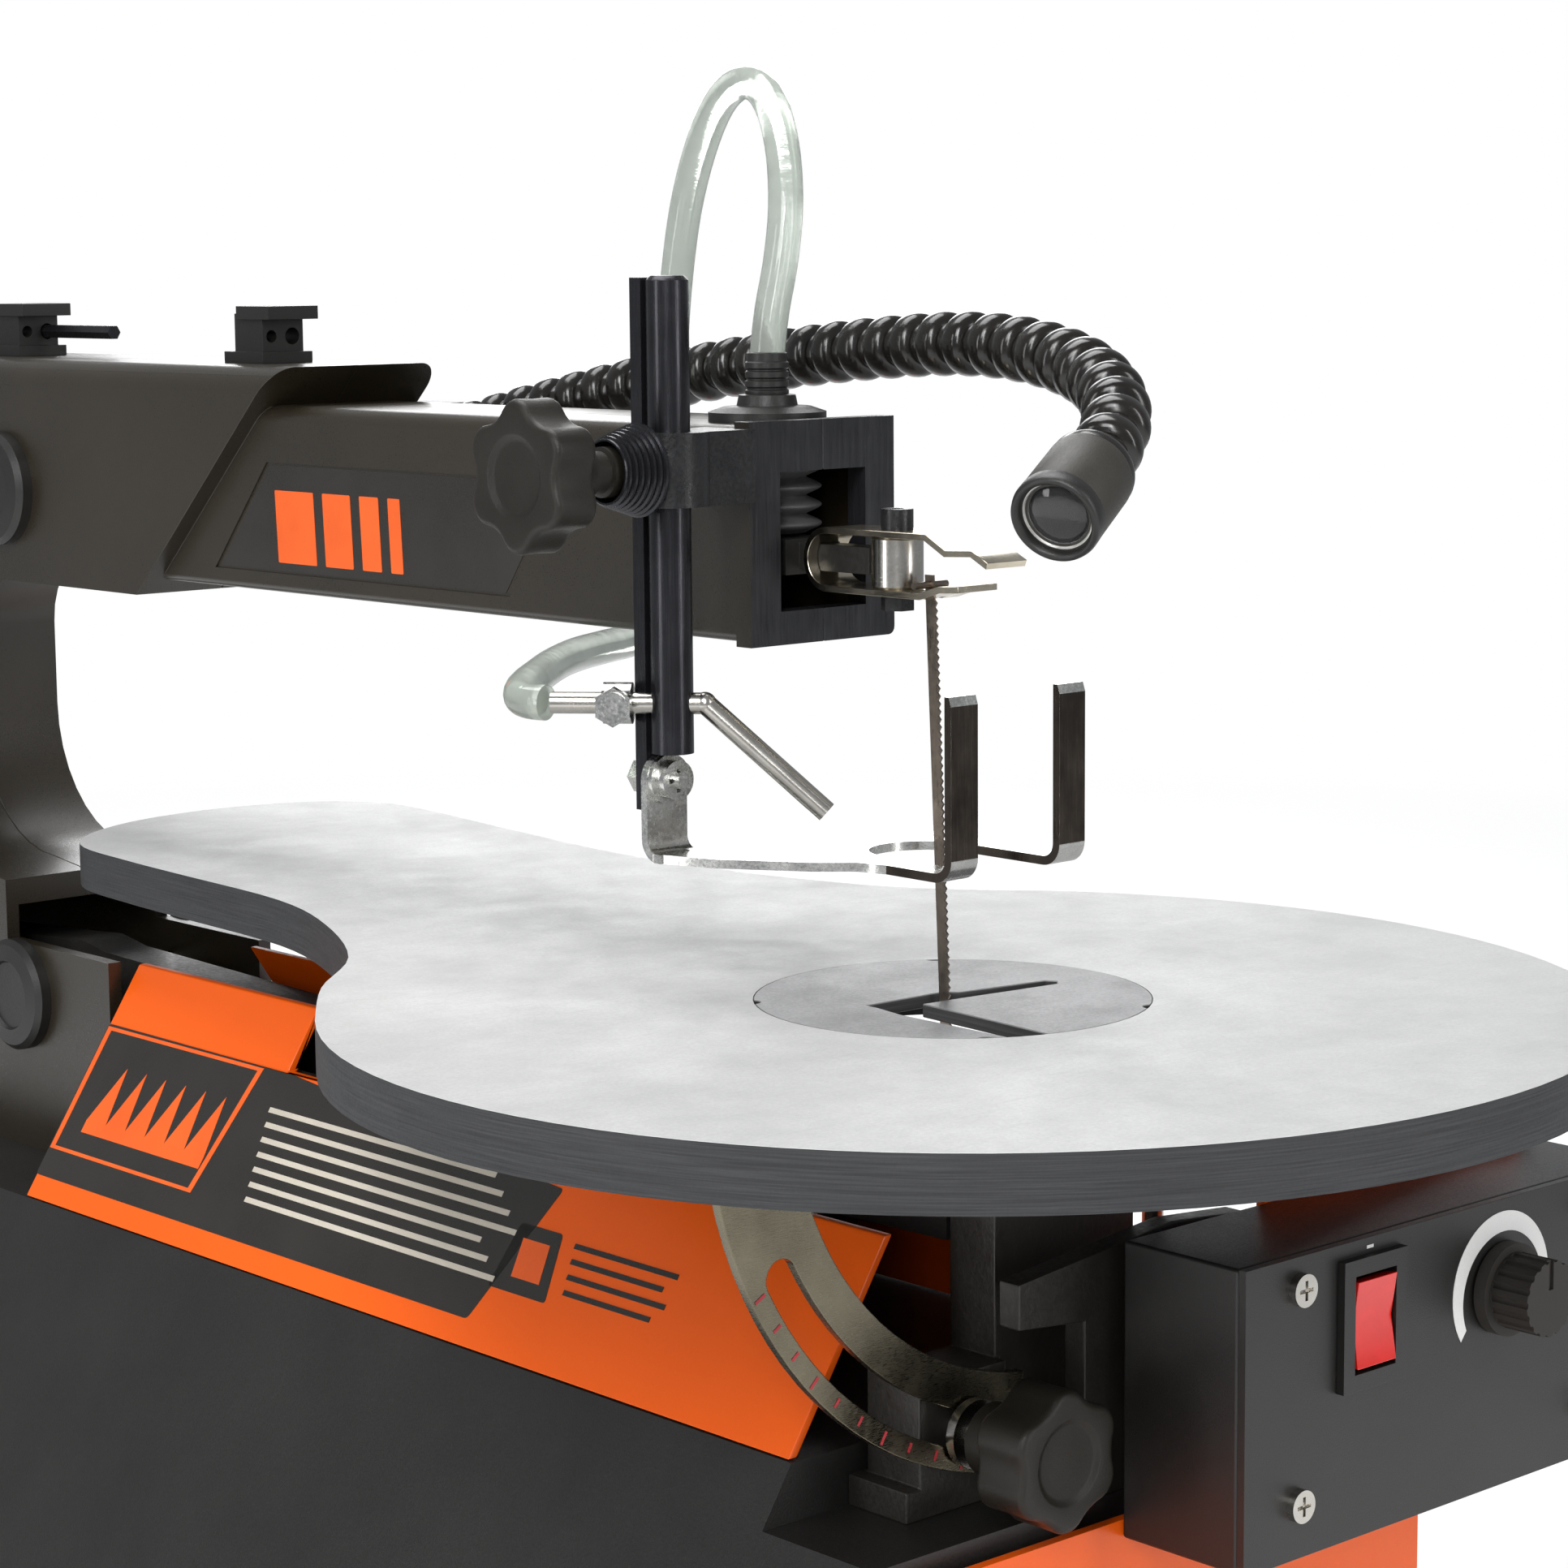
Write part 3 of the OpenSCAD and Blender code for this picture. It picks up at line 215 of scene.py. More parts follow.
def finish(name, base, rough, metal=0.0, cloud=0.1, cloud_scale=30, grain=0.08, grain_scale=900,
           stretch=None, bump=0.00003, bump_scale=1400, bump_stretch=None, rvar=0.08, **extra):
    """Base colour with slow clouding and fine grain, uneven roughness and a fine bump."""
    g = Graph(name)
    slow = g.noise(cloud_scale, 4)
    fine = g.noise(grain_scale, 3) if stretch is None else g.noise(1, 3, vec=g.scaled(stretch))
    c = g.mix(g.remap(slow, 0.3, 0.7, 0, 1), shade(base, 1 - cloud), shade(base, 1 + cloud))
    tint = g.mix(g.remap(fine, 0.3, 0.7, 0, 1), (1 - grain,) * 3, (1.0,) * 3)
    g.link(g.mix(1.0, c, tint, "MULTIPLY"), g.bsdf.inputs["Base Color"])
    r = g.math("ADD", g.remap(fine, 0.3, 0.7, -rvar, rvar),
               g.remap(slow, 0.3, 0.7, rough - rvar / 2, rough + rvar / 2))
    g.link(r, g.bsdf.inputs["Roughness"])
    g.set(Metallic=metal)
    h = g.noise(bump_scale, 3) if bump_stretch is None else g.noise(1, 3, vec=g.scaled(bump_stretch))
    g.link(g.bump(h, bump), g.bsdf.inputs["Normal"])
    g.set(**extra)
    return g.mat


M = {
    "housing": finish("housing_paint", (0.0215, 0.0165, 0.0095), 0.34, cloud=0.16, cloud_scale=14, grain=0.15,
                      grain_scale=2200, bump=0.00004, bump_scale=2600, Coat_Weight=0.25, Coat_Roughness=0.3),
    "base": finish("base_paint", (0.014, 0.013, 0.012), 0.42, grain_scale=1800, bump=0.00006,
                   bump_scale=1800),
    "support": finish("support_casting", (0.02, 0.018, 0.015), 0.42, cloud_scale=60, bump=0.0001,
                      bump_scale=700),
    "orange": finish("orange_paint", (0.86, 0.112, 0.003), 0.34, cloud=0.05, cloud_scale=12, grain=0.03,
                     grain_scale=1500, bump=0.00002, bump_scale=900, rvar=0.04, Specular_IOR_Level=0.3,
                     Coat_Weight=0.15, Coat_Roughness=0.15),
    "plastic": finish("black_plastic", (0.013, 0.012, 0.011), 0.42, grain_scale=2500, bump=0.00005,
                      bump_scale=3000),
    "knob": finish("knob_plastic", (0.0125, 0.0105, 0.0075), 0.46, cloud=0.15, cloud_scale=80, grain=0.1,
                   grain_scale=3000, bump=0.00005, bump_scale=3200, Specular_IOR_Level=0.35),
    "beads": finish("bead_plastic", (0.011, 0.0095, 0.008), 0.2, cloud=0.2, cloud_scale=90, grain=0.1,
                    grain_scale=1500, bump=0.000015, bump_scale=500, rvar=0.06),
    "lamp": finish("lamp_barrel", (0.03, 0.0275, 0.022), 0.5, cloud=0.1, cloud_scale=120, grain=0.15,
                   grain_scale=2600, bump=0.00004, bump_scale=2600),
    "zinc": finish("zinc_plate", (0.66, 0.66, 0.635), 0.22, 1.0, cloud=0.13, cloud_scale=160, grain=0.14,
                   grain_scale=1400, bump=0.00005, bump_scale=420, rvar=0.09),
    "steel": finish("brushed_steel", (0.52, 0.5, 0.46), 0.24, 1.0, cloud=0.08, cloud_scale=120, grain=0.09,
                    stretch=(3000, 160, 3000), bump=0.000005, bump_stretch=(3000, 160, 3000), rvar=0.03),
    "spring": finish("spring_steel", (0.6, 0.54, 0.43), 0.22, 1.0, cloud=0.12, cloud_scale=180, grain=0.08,
                     stretch=(3000, 250, 3000), bump=0.00001, bump_scale=900, rvar=0.04),
    "blade": finish("blade_steel", (0.25, 0.21, 0.175), 0.34, 1.0, cloud=0.15, cloud_scale=300, grain=0.15,
                    stretch=(3000, 3000, 150), bump=0.00002, bump_scale=1500),
    "rod": finish("black_rod", (0.036, 0.036, 0.041), 0.26, 0.75, cloud=0.15, cloud_scale=90, grain=0.15,
                  stretch=(2600, 2600, 90), bump=0.000025, bump_stretch=(2500, 2500, 120), rvar=0.05),
    "head": finish("head_casting", (0.02, 0.02, 0.023), 0.36, 0.2, cloud=0.18, cloud_scale=120, grain=0.25,
                   stretch=(1500, 1500, 90), bump=0.00006, bump_stretch=(1500, 1500, 90)),
    "clamp": finish("clamp_casting", (0.017, 0.017, 0.018), 0.33, 0.2, cloud=0.2, cloud_scale=180, grain=0.2,
                    grain_scale=1200, bump=0.00012, bump_scale=700),
    "arm": finish("arm_casting", (0.05, 0.048, 0.045), 0.45, 0.6, cloud_scale=80, bump=0.0001,
                  bump_scale=800),
    "bronze": finish("bronze", (0.55, 0.33, 0.12), 0.35, 1.0, cloud_scale=200),
    "rubber": finish("bellows_rubber", (0.085, 0.084, 0.085), 0.4, cloud=0.2, cloud_scale=200, grain=0.12,
                     grain_scale=2200, bump=0.00006, bump_scale=1800),
    "motor": finish("motor_paint", (0.08, 0.08, 0.08), 0.45, 0.2, bump=0.00008, bump_scale=900),
    "red": finish("red_plastic", (0.72, 0.012, 0.006), 0.2, cloud=0.06, cloud_scale=200, grain=0.03,
                  bump=0.00001, rvar=0.03, Coat_Weight=0.4, Coat_Roughness=0.08),
    # a dark copy of the drop foot's metal for its upright faces: painted dark reflection
    "prong": finish("prong_painted_reflection", (0.085, 0.07, 0.058), 0.2, 1.0, cloud=0.3, cloud_scale=120, grain=0.12,
                    stretch=(2600, 2600, 120), bump=0.00002, bump_stretch=(2400, 2400, 140), rvar=0.06),
    # bright metal: the lamp reflector's own colour, and a painted highlight on the rounded edges of the bevel
    # bracket and the drop foot
    "bright": finish("bright_metal_edge_highlight", (0.8, 0.79, 0.76), 0.32, 0.6, cloud=0.1, cloud_scale=300, grain=0.1,
                     bump=0.00001, rvar=0.05),
    "bracket": finish("bracket_plate", (0.2, 0.178, 0.128), 0.3, 1.0, cloud=0.22, cloud_scale=70, grain=0.15,
                      stretch=(600, 900, 5000), bump=0.00003, bump_stretch=(400, 900, 4000), rvar=0.1),
    "white": finish("white_print", (0.78, 0.78, 0.76), 0.5, cloud=0.05, grain=0.05, grain_scale=3000),
    "print_dark": finish("label_black", (0.019, 0.0165, 0.013), 0.34, cloud=0.15, cloud_scale=40, grain=0.1,
                         grain_scale=2600, Coat_Weight=0.3, Coat_Roughness=0.2),
    "print_orange": finish("label_orange", (0.86, 0.12, 0.012), 0.42, cloud=0.08, cloud_scale=60, grain=0.08,
                           grain_scale=2600),
    "print_pale": finish("label_pale", (0.55, 0.5, 0.42), 0.5, cloud=0.1, grain=0.1, grain_scale=2600),
    "print_red": finish("scale_red", (0.45, 0.03, 0.04), 0.5, cloud=0.2, cloud_scale=300),
}


def metal_plate(name, top, side, edge, rough, marks=0.0):
    """Ground metal coloured by which way each face points: its flat top, its much darker turned rim, and a
    painted highlight on the rounded edge between them.
    """
    g = Graph(name)
    sep = g.t.nodes.new("ShaderNodeSeparateXYZ")
    g.link(g.nrm, sep.inputs[0])
    up = sep.outputs["Z"]
    slow = g.noise(16, 5, 0.6, distort=0.6)
    mid = g.noise(75, 5, 0.65)
    fine = g.noise(1500, 3)
    cloud = g.math("ADD", g.math("MULTIPLY", slow, 0.55), g.math("MULTIPLY", mid, 0.45))
    ctop = g.mix(g.remap(cloud, 0.38, 0.62, 0, 1), shade(top, 0.9), shade(top, 1.05))
    ctop = g.mix(g.remap(fine, 0.35, 0.75, 0, 0.5), ctop, shade(top, 0.82))
    swirl = g.noise(1, 3, vec=g.scaled((70, 900, 900), (0, 0, 0.5)))
    ctop = g.mix(g.remap(swirl, 0.56, 0.74, 0, 0.22 + marks), ctop, shade(top, 0.72))
    grain = g.noise(1, 4, 0.6, vec=g.scaled((40, 40, 2600)))
    cside = g.mix(g.remap(grain, 0.35, 0.68, 0, 1), shade(side, 0.62), shade(side, 1.5))
    cside = g.mix(g.remap(mid, 0.3, 0.7, 0, 0.5), cside, shade(side, 0.85))
    # by facing: up takes the top colour, the slope between top and rim the edge colour, a painted highlight,
    # and the rest the rim colour
    is_top = g.remap(up, 0.93, 0.97, 0, 1)
    edge_highlight_band = g.remap(up, 0.12, 0.3, 0, 1)
    col = g.mix(is_top, g.mix(edge_highlight_band, cside, edge), ctop)
    g.link(col, g.bsdf.inputs["Base Color"])
    r = g.math("ADD", g.remap(cloud, 0.38, 0.62, rough + 0.05, rough - 0.05),
               g.remap(fine, 0.3, 0.7, -0.05, 0.05))
    g.link(r, g.bsdf.inputs["Roughness"])
    g.set(Metallic=0.3)
    n1 = g.bump(grain, 0.00004)
    g.link(g.bump(fine, 0.00002, base=n1), g.bsdf.inputs["Normal"])
    return g.mat


# the third colour of each plate is the painted highlight on its rounded edge
M["table"] = metal_plate("table_ground", (0.46, 0.46, 0.457), (0.036, 0.037, 0.039), (0.72, 0.72, 0.71), 0.6)
M["insert"] = metal_plate("insert_ground", (0.15, 0.15, 0.153), (0.05, 0.05, 0.05), (0.2, 0.2, 0.2), 0.5, 0.2)


def clear(name, colour, rough, ior, weight=1.0):
    """Clear vinyl or glass."""
    g = Graph(name)
    n = g.noise(260, 4)
    g.link(g.mix(g.remap(n, 0.3, 0.7, 0, 1), colour, shade(colour, 0.86)), g.bsdf.inputs["Base Color"])
    g.link(g.remap(n, 0.3, 0.7, rough, rough + 0.1), g.bsdf.inputs["Roughness"])
    g.set(IOR=ior, Transmission_Weight=weight)
    g.link(g.bump(g.noise(420, 3), 0.00008), g.bsdf.inputs["Normal"])
    return g.mat


M["hose"] = clear("hose_vinyl", (0.86, 0.92, 0.84), 0.08, 1.45, 0.78)
M["lens"] = clear("lens_glass", (0.9, 0.92, 1.0), 0.02, 1.5)

# ---- mesh helpers ----


def add(name, me, mat, body=None, at=None):
    """A piece made of me in mat, moved by at and riding on body."""
    ob = bpy.data.objects.new(name, me)
    links.link(ob)
    if at is not None:
        me.transform(at)
    me.materials.clear()
    me.materials.append(mat)
    if body:
        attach(ob, body)
    return ob


def smooth_by(me, angle=38):
    me.shade_smooth()
    me.set_sharp_from_angle(angle=math.radians(angle))


def mesh_of(name, verts, faces):
    me = bpy.data.meshes.new(name)
    me.from_pydata([tuple(v) for v in verts], [], faces)
    me.validate()
    return me


def drop_normals(me):
    for a in [a.name for a in me.attributes if a.name == "custom_normal"]:
        me.attributes.remove(me.attributes[a])


WELD = 2e-6                             # metres


def refine(node, mat, width, seg, angle=32, special=(), smooth=38, edge=None):
    """The CAD node's own shape with its edges rounded; it stands in for the node.
    special lists (test, width, segments) for edges that get a round of their own.
    Where edge names a material, the rounded edges are coloured in it as a painted highlight."""
    bm = bmesh.new()
    bm.from_mesh(nodes[node].data)
    bmesh.ops.remove_doubles(bm, verts=bm.verts, dist=WELD)
    bmesh.ops.dissolve_limit(bm, angle_limit=math.radians(0.6), verts=bm.verts, edges=bm.edges)
    bm.normal_update()

    def sharp(e):
        return len(e.link_faces) == 2 and e.calc_face_angle(0) > math.radians(angle)

    def bevel(edges, w, s):
        return bmesh.ops.bevel(bm, geom=edges, offset=w / 1000, offset_type="OFFSET", segments=s,
                               profile=0.5, affect="EDGES", clamp_overlap=True)["faces"]

    for test, w, s in special:
        es = [e for e in bm.edges if sharp(e) and test(e)]
        if es:
            bevel(es, w, s)
            bm.normal_update()
    # the rounded faces; where edge is given they carry a painted highlight in it
    highlight_faces = bevel([e for e in bm.edges if sharp(e)], width, seg)
    if edge:
        for f in highlight_faces:
            f.material_index = 1
    me = bpy.data.meshes.new(node + "_form")
    bm.to_mesh(me)
    bm.free()
    drop_normals(me)
    smooth_by(me, smooth)
    ob = add(node + "_form", me, mat, nodes[node]["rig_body"])
    if edge:
        me.materials.append(edge)
    wn = ob.modifiers.new("even_normals", "WEIGHTED_NORMAL")
    wn.keep_sharp = True
    wn.weight = 90
    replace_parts(ob, node)
    return ob


def basis(origin, z):
    """Matrix with its z axis along z."""
    z = Vector(z).normalized()
    x = Vector((0, 0, 1)) if abs(z.z) < 0.9 else Vector((1, 0, 0))
    y = z.cross(x).normalized()
    x = y.cross(z)
    m = Matrix((x, y, z)).transposed().to_4x4()
    m.translation = origin
    return m


def lathe(name, prof, n=48, at=None):
    """Turned form; prof is a list of (radius, height) in millimetres."""
    verts, faces, rings = [], [], []
    for r, h in prof:
        if r < 1e-6:
            rings.append([len(verts)])
            verts.append((0, 0, h / 1000))
        else:
            rings.append(list(range(len(verts), len(verts) + n)))
            verts += [(r / 1000 * math.cos(2 * math.pi * k / n), r / 1000 * math.sin(2 * math.pi * k / n),
                       h / 1000) for k in range(n)]
    for a, b in zip(rings, rings[1:]):
        for k in range(n):
            q = [a[k % len(a)], a[(k + 1) % len(a)], b[(k + 1) % len(b)], b[k % len(b)]]
            q = [v for i, v in enumerate(q) if v not in q[:i]]
            if len(q) > 2:
                faces.append(q)
    me = mesh_of(name, verts, faces)
    if at is not None:
        me.transform(at)
    return me


def join(name, meshes):
    """One mesh of several, which are used up."""
    bm = bmesh.new()
    for me in meshes:
        bm.from_mesh(me)
        bpy.data.meshes.remove(me)
    out = bpy.data.meshes.new(name)
    bm.to_mesh(out)
    bm.free()
    return out


def rounded(points, r):
    """A closed outline's corners rounded to radius r, in n steps."""
    n = 4
    out = []
    for i, p in enumerate(points):
        a, b = Vector(points[i - 1]), Vector(points[(i + 1) % len(points)])
        p = Vector(p)
        da, db = (a - p), (b - p)
        k = min(r, da.length / 2, db.length / 2)
        s, e = p + da.normalized() * k, p + db.normalized() * k
        for j in range(n + 1):
            t = j / n
            out.append(s * (1 - t) ** 2 + p * 2 * t * (1 - t) + e * t * t)
    return out


def decal(name, points, place, mat, body, thick=0.12, r=0.0):
    """A thin printed shape; points are (u, v) in mm, place(u, v, lift) gives the row point."""
    pts = rounded(points, r) if r else [Vector(p) for p in points]
    n = len(pts)
    verts = [place(p[0], p[1], 0.03) for p in pts] + [place(p[0], p[1], thick) for p in pts]
    faces = [list(range(n - 1, -1, -1)), list(range(n, 2 * n))]
    faces += [[i, (i + 1) % n, n + (i + 1) % n, n + i] for i in range(n)]
    me = mesh_of(name, verts, faces)
    bm = bmesh.new()
    bm.from_mesh(me)
    bmesh.ops.recalc_face_normals(bm, faces=bm.faces)
    bm.to_mesh(me)
    bm.free()
    return add(name, me, mat, body)

# ---- air hose (cord) ----

route = [P(*q) for q in (
    (0, 59.6, 132), (0, 59.4, 140), (1, 58.8, 150), (3.5, 58.5, 161), (6.5, 60, 173),
    (10, 64.5, 185), (14, 72, 195), (18.5, 82, 201), (22, 93, 202.5), (25, 104, 198),
    (27, 113, 188), (27.7, 119.5, 174), (27.6, 123, 158), (27.2, 124.6, 142),
    (27, 125.4, 126), (27, 125.6, 110), (27, 125, 95), (25.5, 123.5, 82.5),
    (20, 121, 73.5), (8, 117.5, 70.5), (-6, 112, 70), (-20, 105.5, 69.7), (-33, 97.5, 69),
    (-45, 88.5, 68), (-55, 81, 66.8), (-60.2, 75.2, 65.7), (-60.9, 71.4, 65.1),
    (ROD_X - 28.1 * 0.665, ROD_Y + 28.1 * 0.747, 65))]
HOSE_R = 0.004                          # metres


def curve_points(p):
    """A smooth curve through the points p, with k steps between two of them."""
    out, k = [], 4
    for i in range(len(p) - 1):
        a, b, c, d = p[max(i - 1, 0)], p[i], p[i + 1], p[min(i + 2, len(p) - 1)]
        for j in range(k):
            t = j / k
            out.append(0.5 * (2 * b + (c - a) * t + (2 * a - 5 * b + 4 * c - d) * t * t
                              + (3 * b - a - 3 * c + d) * t ** 3))
    return out + [p[-1]]


def sweep(name, pts, r):
    """Closed tube of radius r and n sides along pts."""
    verts, faces, n = [], [], 20
    t0 = (pts[1] - pts[0]).normalized()
    x = t0.orthogonal().normalized()
    last = t0
    for i, p in enumerate(pts):
        t = (pts[min(i + 1, len(pts) - 1)] - pts[max(i - 1, 0)]).normalized()
        x = last.rotation_difference(t) @ x
        x = (x - t * x.dot(t)).normalized()
        y = t.cross(x)
        last = t
        verts += [p + (x * math.cos(2 * math.pi * k / n) + y * math.sin(2 * math.pi * k / n)) * r
                  for k in range(n)]
    for i in range(len(pts) - 1):
        for k in range(n):
            faces.append([i * n + k, i * n + (k + 1) % n, (i + 1) * n + (k + 1) % n, (i + 1) * n + k])
    faces += [list(range(n - 1, -1, -1)), list(range(len(verts) - n, len(verts)))]
    return mesh_of(name, verts, faces)


hose_path = curve_points(route)
hose_me = sweep("air_hose_tube", hose_path, HOSE_R)
smooth_by(hose_me, 60)
hose = add("air_hose_tube", hose_me, M["hose"])
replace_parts(hose, "air_hose")
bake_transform(hose, "frame", "drop_foot", start=P(29, 125, 92), end=P(-58, 74, 66))

# ---- refined CAD shapes ----

WIDE = 19                               # the housing's flanks stand further out than this
HEAD_BACK = 46.9                        # the blade head's casting reaches this far back


def on_ridge(e):
    """Edges of the slanting step between the thick and the slim part of the housing."""
    ok = []
    for v in e.verts:
        x, y, z = T(v.co)
        ok.append(abs(y - (218 + (135 - z) * 67 / 62)) < 1.2 and abs(x) > WIDE and 70 < z < 133)
    return all(ok)


def runs_along(a, b):
    """An edge from a to b lies along the machine."""
    return abs(b[1] - a[1]) > 3 * (abs(b[0] - a[0]) + abs(b[2] - a[2]))


def on_shoulder(e):
    """Long outer edges along the top of the thick part and the slim part of the housing."""
    a, b = (T(v.co) for v in e.verts)
    return min(abs(a[0]), abs(b[0])) > WIDE and min(a[2], b[2]) > 126 and runs_along(a, b)


def on_corner(e):
    """The long lower edge of the blade head, on its right side."""
    a, b = (T(v.co) for v in e.verts)
    low = min(a[2], b[2]) > 60 and max(a[2], b[2]) < 80
    return min(a[0], b[0]) > WIDE and max(a[1], b[1]) < 110 and low and runs_along(a, b)


def near_seam(e):
    """Edges where the two halves of the housing meet."""
    return all(abs(v.co.x) < 0.0003 for v in e.verts)


for half in ("frame_left", "frame_right"):
    ob = refine(half, M["housing"], 0.9, 3, special=[(on_ridge, 3.2, 5), (near_seam, 0.25, 1),
                                                     (on_shoulder, 3.4, 6), (on_corner, 1.8, 4)])
    ob.data.materials.append(M["head"])
    for f in ob.data.polygons:
        if T(f.center)[1] < HEAD_BACK:
            f.material_index = 1

for node, look, width, seg in (
        ("front_support", "support", 0.9, 2), ("base_casting", "base", 1.6, 3),
        ("left_side_panel", "orange", 0.5, 2), ("right_side_panel", "orange", 0.5, 2),
        ("front_panel", "orange", 0.5, 2), ("motor_cover", "orange", 1.2, 3),
        ("table_insert", "insert", 0.22, 1), ("foot_clamp", "clamp", 0.8, 3),
        ("blade_clip", "spring", 0.22, 1), ("control_box", "plastic", 0.9, 3),
        ("face_plate", "plastic", 0.6, 2), ("switch_bezel", "plastic", 0.7, 2),
        ("power_switch", "red", 0.6, 3), ("tool_clips", "plastic", 0.8, 2),
        ("gooseneck_base", "plastic", 0.9, 3), ("trunnion_rocker", "arm", 0.8, 2),
        ("guide_bar", "rod", 0.6, 2), ("lower_blade_holder", "steel", 0.4, 2),
        ("upper_arm", "arm", 1.0, 2), ("lower_arm", "arm", 1.0, 2)):
    refine(node, M[look], width, seg)
refine("table", M["table"], 0.55, 2, angle=40)
refine("foot_rod", M["rod"], 0.5, 3, angle=42, smooth=30)
# the bracket's rounded edges are coloured as a painted highlight
refine("bevel_bracket", M["bracket"], 0.3, 2, edge=M["bright"])

# the drop foot's plate is zinc; its upright faces take a dark copy of the metal, a painted reflection of dark
# surroundings, and its rounded edges a painted highlight
foot = refine("forked_foot", M["zinc"], 0.45, 2, edge=M["bright"])
foot.data.materials.append(M["prong"])
plate_top = min(T(v.co)[2] for v in foot.data.vertices) + 3
SMALLEST_SIDE = 30e-6                   # square metres
# upright faces above the plate and near the front get the dark copy: painted dark reflection
for f in foot.data.polygons:
    place = T(f.center)
    upright = abs(f.normal.z) < 0.3 and f.area > SMALLEST_SIDE and place[2] > plate_top
    if f.material_index == 0 and upright and place[1] < 30:
        f.material_index = 2

cad_looks = {
    "frame_screws": "steel", "pivot_caps": "plastic", "pivot_pins": "steel", "hex_wrench": "rod",
    "cord_gland": "plastic", "hose_fitting": "plastic", "foot_screw": "zinc",
    "blower_tube": "steel", "blower_collar": "zinc", "blower_screw": "zinc", "upper_bushing": "bronze",
    "clip_roller": "steel", "clip_screw": "clamp", "lower_bushing": "bronze", "tension_rod": "steel",
    "saw_blade": "blade", "blade_pins": "blade", "drive_link": "arm", "eccentric": "steel",
    "motor_body": "motor", "motor_end_cap": "motor", "table_screws": "steel", "table_lock_bolt": "steel",
    "levelling_screw": "steel", "panel_screws": "steel",
}
for n, m in cad_looks.items():
    nodes[n].data.materials.clear()
    nodes[n].data.materials.append(M[m])

# ---- knobs ----


def lobed(node, r, h, at, stem, depth=0.13, dish=0.55):
    """Moulded knob of radius r and height h on a turned stem, in place of its node: rounded
    lobes of the given depth, a soft rim and a shallow round dish in its face."""
    name = node + "_form"
    lobes, rim = 6, 1.6
    n = lobes * 16
    quarter = [math.pi / 2 * k / 5 for k in range(6)]
    rows = [(rim * (1 - math.sin(a)), rim * (1 - math.cos(a))) for a in quarter]
    rows += [(0.15, h * 0.5)]
    rows += [(rim * (1 - math.cos(a)), h - rim * (1 - math.sin(a))) for a in quarter]
    verts, faces = [], []

    def radius(a):
        w = math.cos(lobes * a)
        w = math.copysign(abs(w) ** 0.8, w)
        return r * (1 - depth / 2 + depth / 2 * w)

    rings = []
    for inset, z in rows:
        rings.append(len(verts))
        for k in range(n):
            a = 2 * math.pi * k / n
            q = radius(a) - inset
            verts.append((q / 1000 * math.cos(a), q / 1000 * math.sin(a), z / 1000))
    for s, z in ((0.9, h), (dish + 0.07, h), (dish + 0.035, h - 0.15), (dish, h - 0.7),
                 (dish - 0.06, h - 0.85), (dish * 0.5, h - 0.85)):
        rings.append(len(verts))
        blend_out = max(0.0, (s - 0.65) / 0.35)
        for k in range(n):
            a = 2 * math.pi * k / n
            q = (radius(a) - rim) * blend_out * s + r * s * (1 - blend_out)
            if s > 0.65:
                q = min(q, radius(a) - rim - 0.2)
            verts.append((q / 1000 * math.cos(a), q / 1000 * math.sin(a), z / 1000))
    for a, b in zip(rings, rings[1:]):
        for k in range(n):
            faces.append([a + k, a + (k + 1) % n, b + (k + 1) % n, b + k])
    faces.append(list(range(rings[0] + n - 1, rings[0] - 1, -1)))
    faces.append(list(range(rings[-1], rings[-1] + n)))
    me = join(name, [mesh_of(name, verts, faces), lathe(name + "_stem", stem, 40)])
    smooth_by(me, 42)
    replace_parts(add(name, me, M["knob"], node, at), node)


lock_x, lock_z = polar(90, TILT_FROM)
lobed("foot_lock_knob", 16.5, 11, basis(P(ROD_X - 32, ROD_Y, CLAMP_Z), (-1, 0, 0)),
      [(3, -26.8), (3, -17), (5.2, -16.8), (5.5, -16.3), (5.5, -12.6), (4.6, -12.2), (4.6, -8.8), (5.5, -8.4),
       (5.5, -4.2), (6.2, -3.2), (8.6, -2.8), (9, -2.2), (9, 0.4)], depth=0.17, dish=0.5)
lobed("tension_knob", 19, 17, basis(P(0, 455, 146), (0, 0, 1)), [(3.6, -6), (7.4, -6), (8, -5.4), (8, 0.5)])
lobed("table_lock_knob", 15.5, 14, basis(P(lock_x, -47, lock_z), (0, -1, 0)), [(8, -9), (8, 0.5)])

# ---- ribbed boss of the foot clamp and ferrule of the hose ----

boss = [(6.55, -15.5), (6.7, -16), (7.1, -16)]
for k in range(7):
    r0, h = 7.2 + 0.42 * k, -15.6 + 1.35 * k
    boss += [(r0, h), (r0 + 0.55, h + 0.3), (r0 + 0.55, h + 0.9), (r0, h + 1.2)]
boss += [(8.6, -6), (6.55, -6)]
me = lathe("clamp_boss", [(r, -h - 18.4) for r, h in reversed(boss)] + [(6.55, -2.9)], 56,
           basis(P(ROD_X, ROD_Y, CLAMP_Z), (-1, 0, 0)) @ Matrix.Translation((0, 0, 0.0206)))
smooth_by(me, 40)
add("clamp_boss", me, M["rod"], "frame")

fitting_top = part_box("hose_fitting")[1][2]
ribs = [(4.25, -8.6), (4.7, -8.6)]
for k in range(4):
    ribs += [(5.0, -8.2 + 2.1 * k), (5.0, -7.0 + 2.1 * k), (4.6, -6.7 + 2.1 * k), (4.6, -6.5 + 2.1 * k)]
ribs += [(4.6, 1.4), (4.25, 1.6), (4.25, -8.6)]
me = lathe("hose_ferrule", ribs, 48, Matrix.Translation((0, P(0, HOSE_Y, 0).y, fitting_top)))
smooth_by(me, 40)
add("hose_ferrule", me, M["plastic"], "frame")

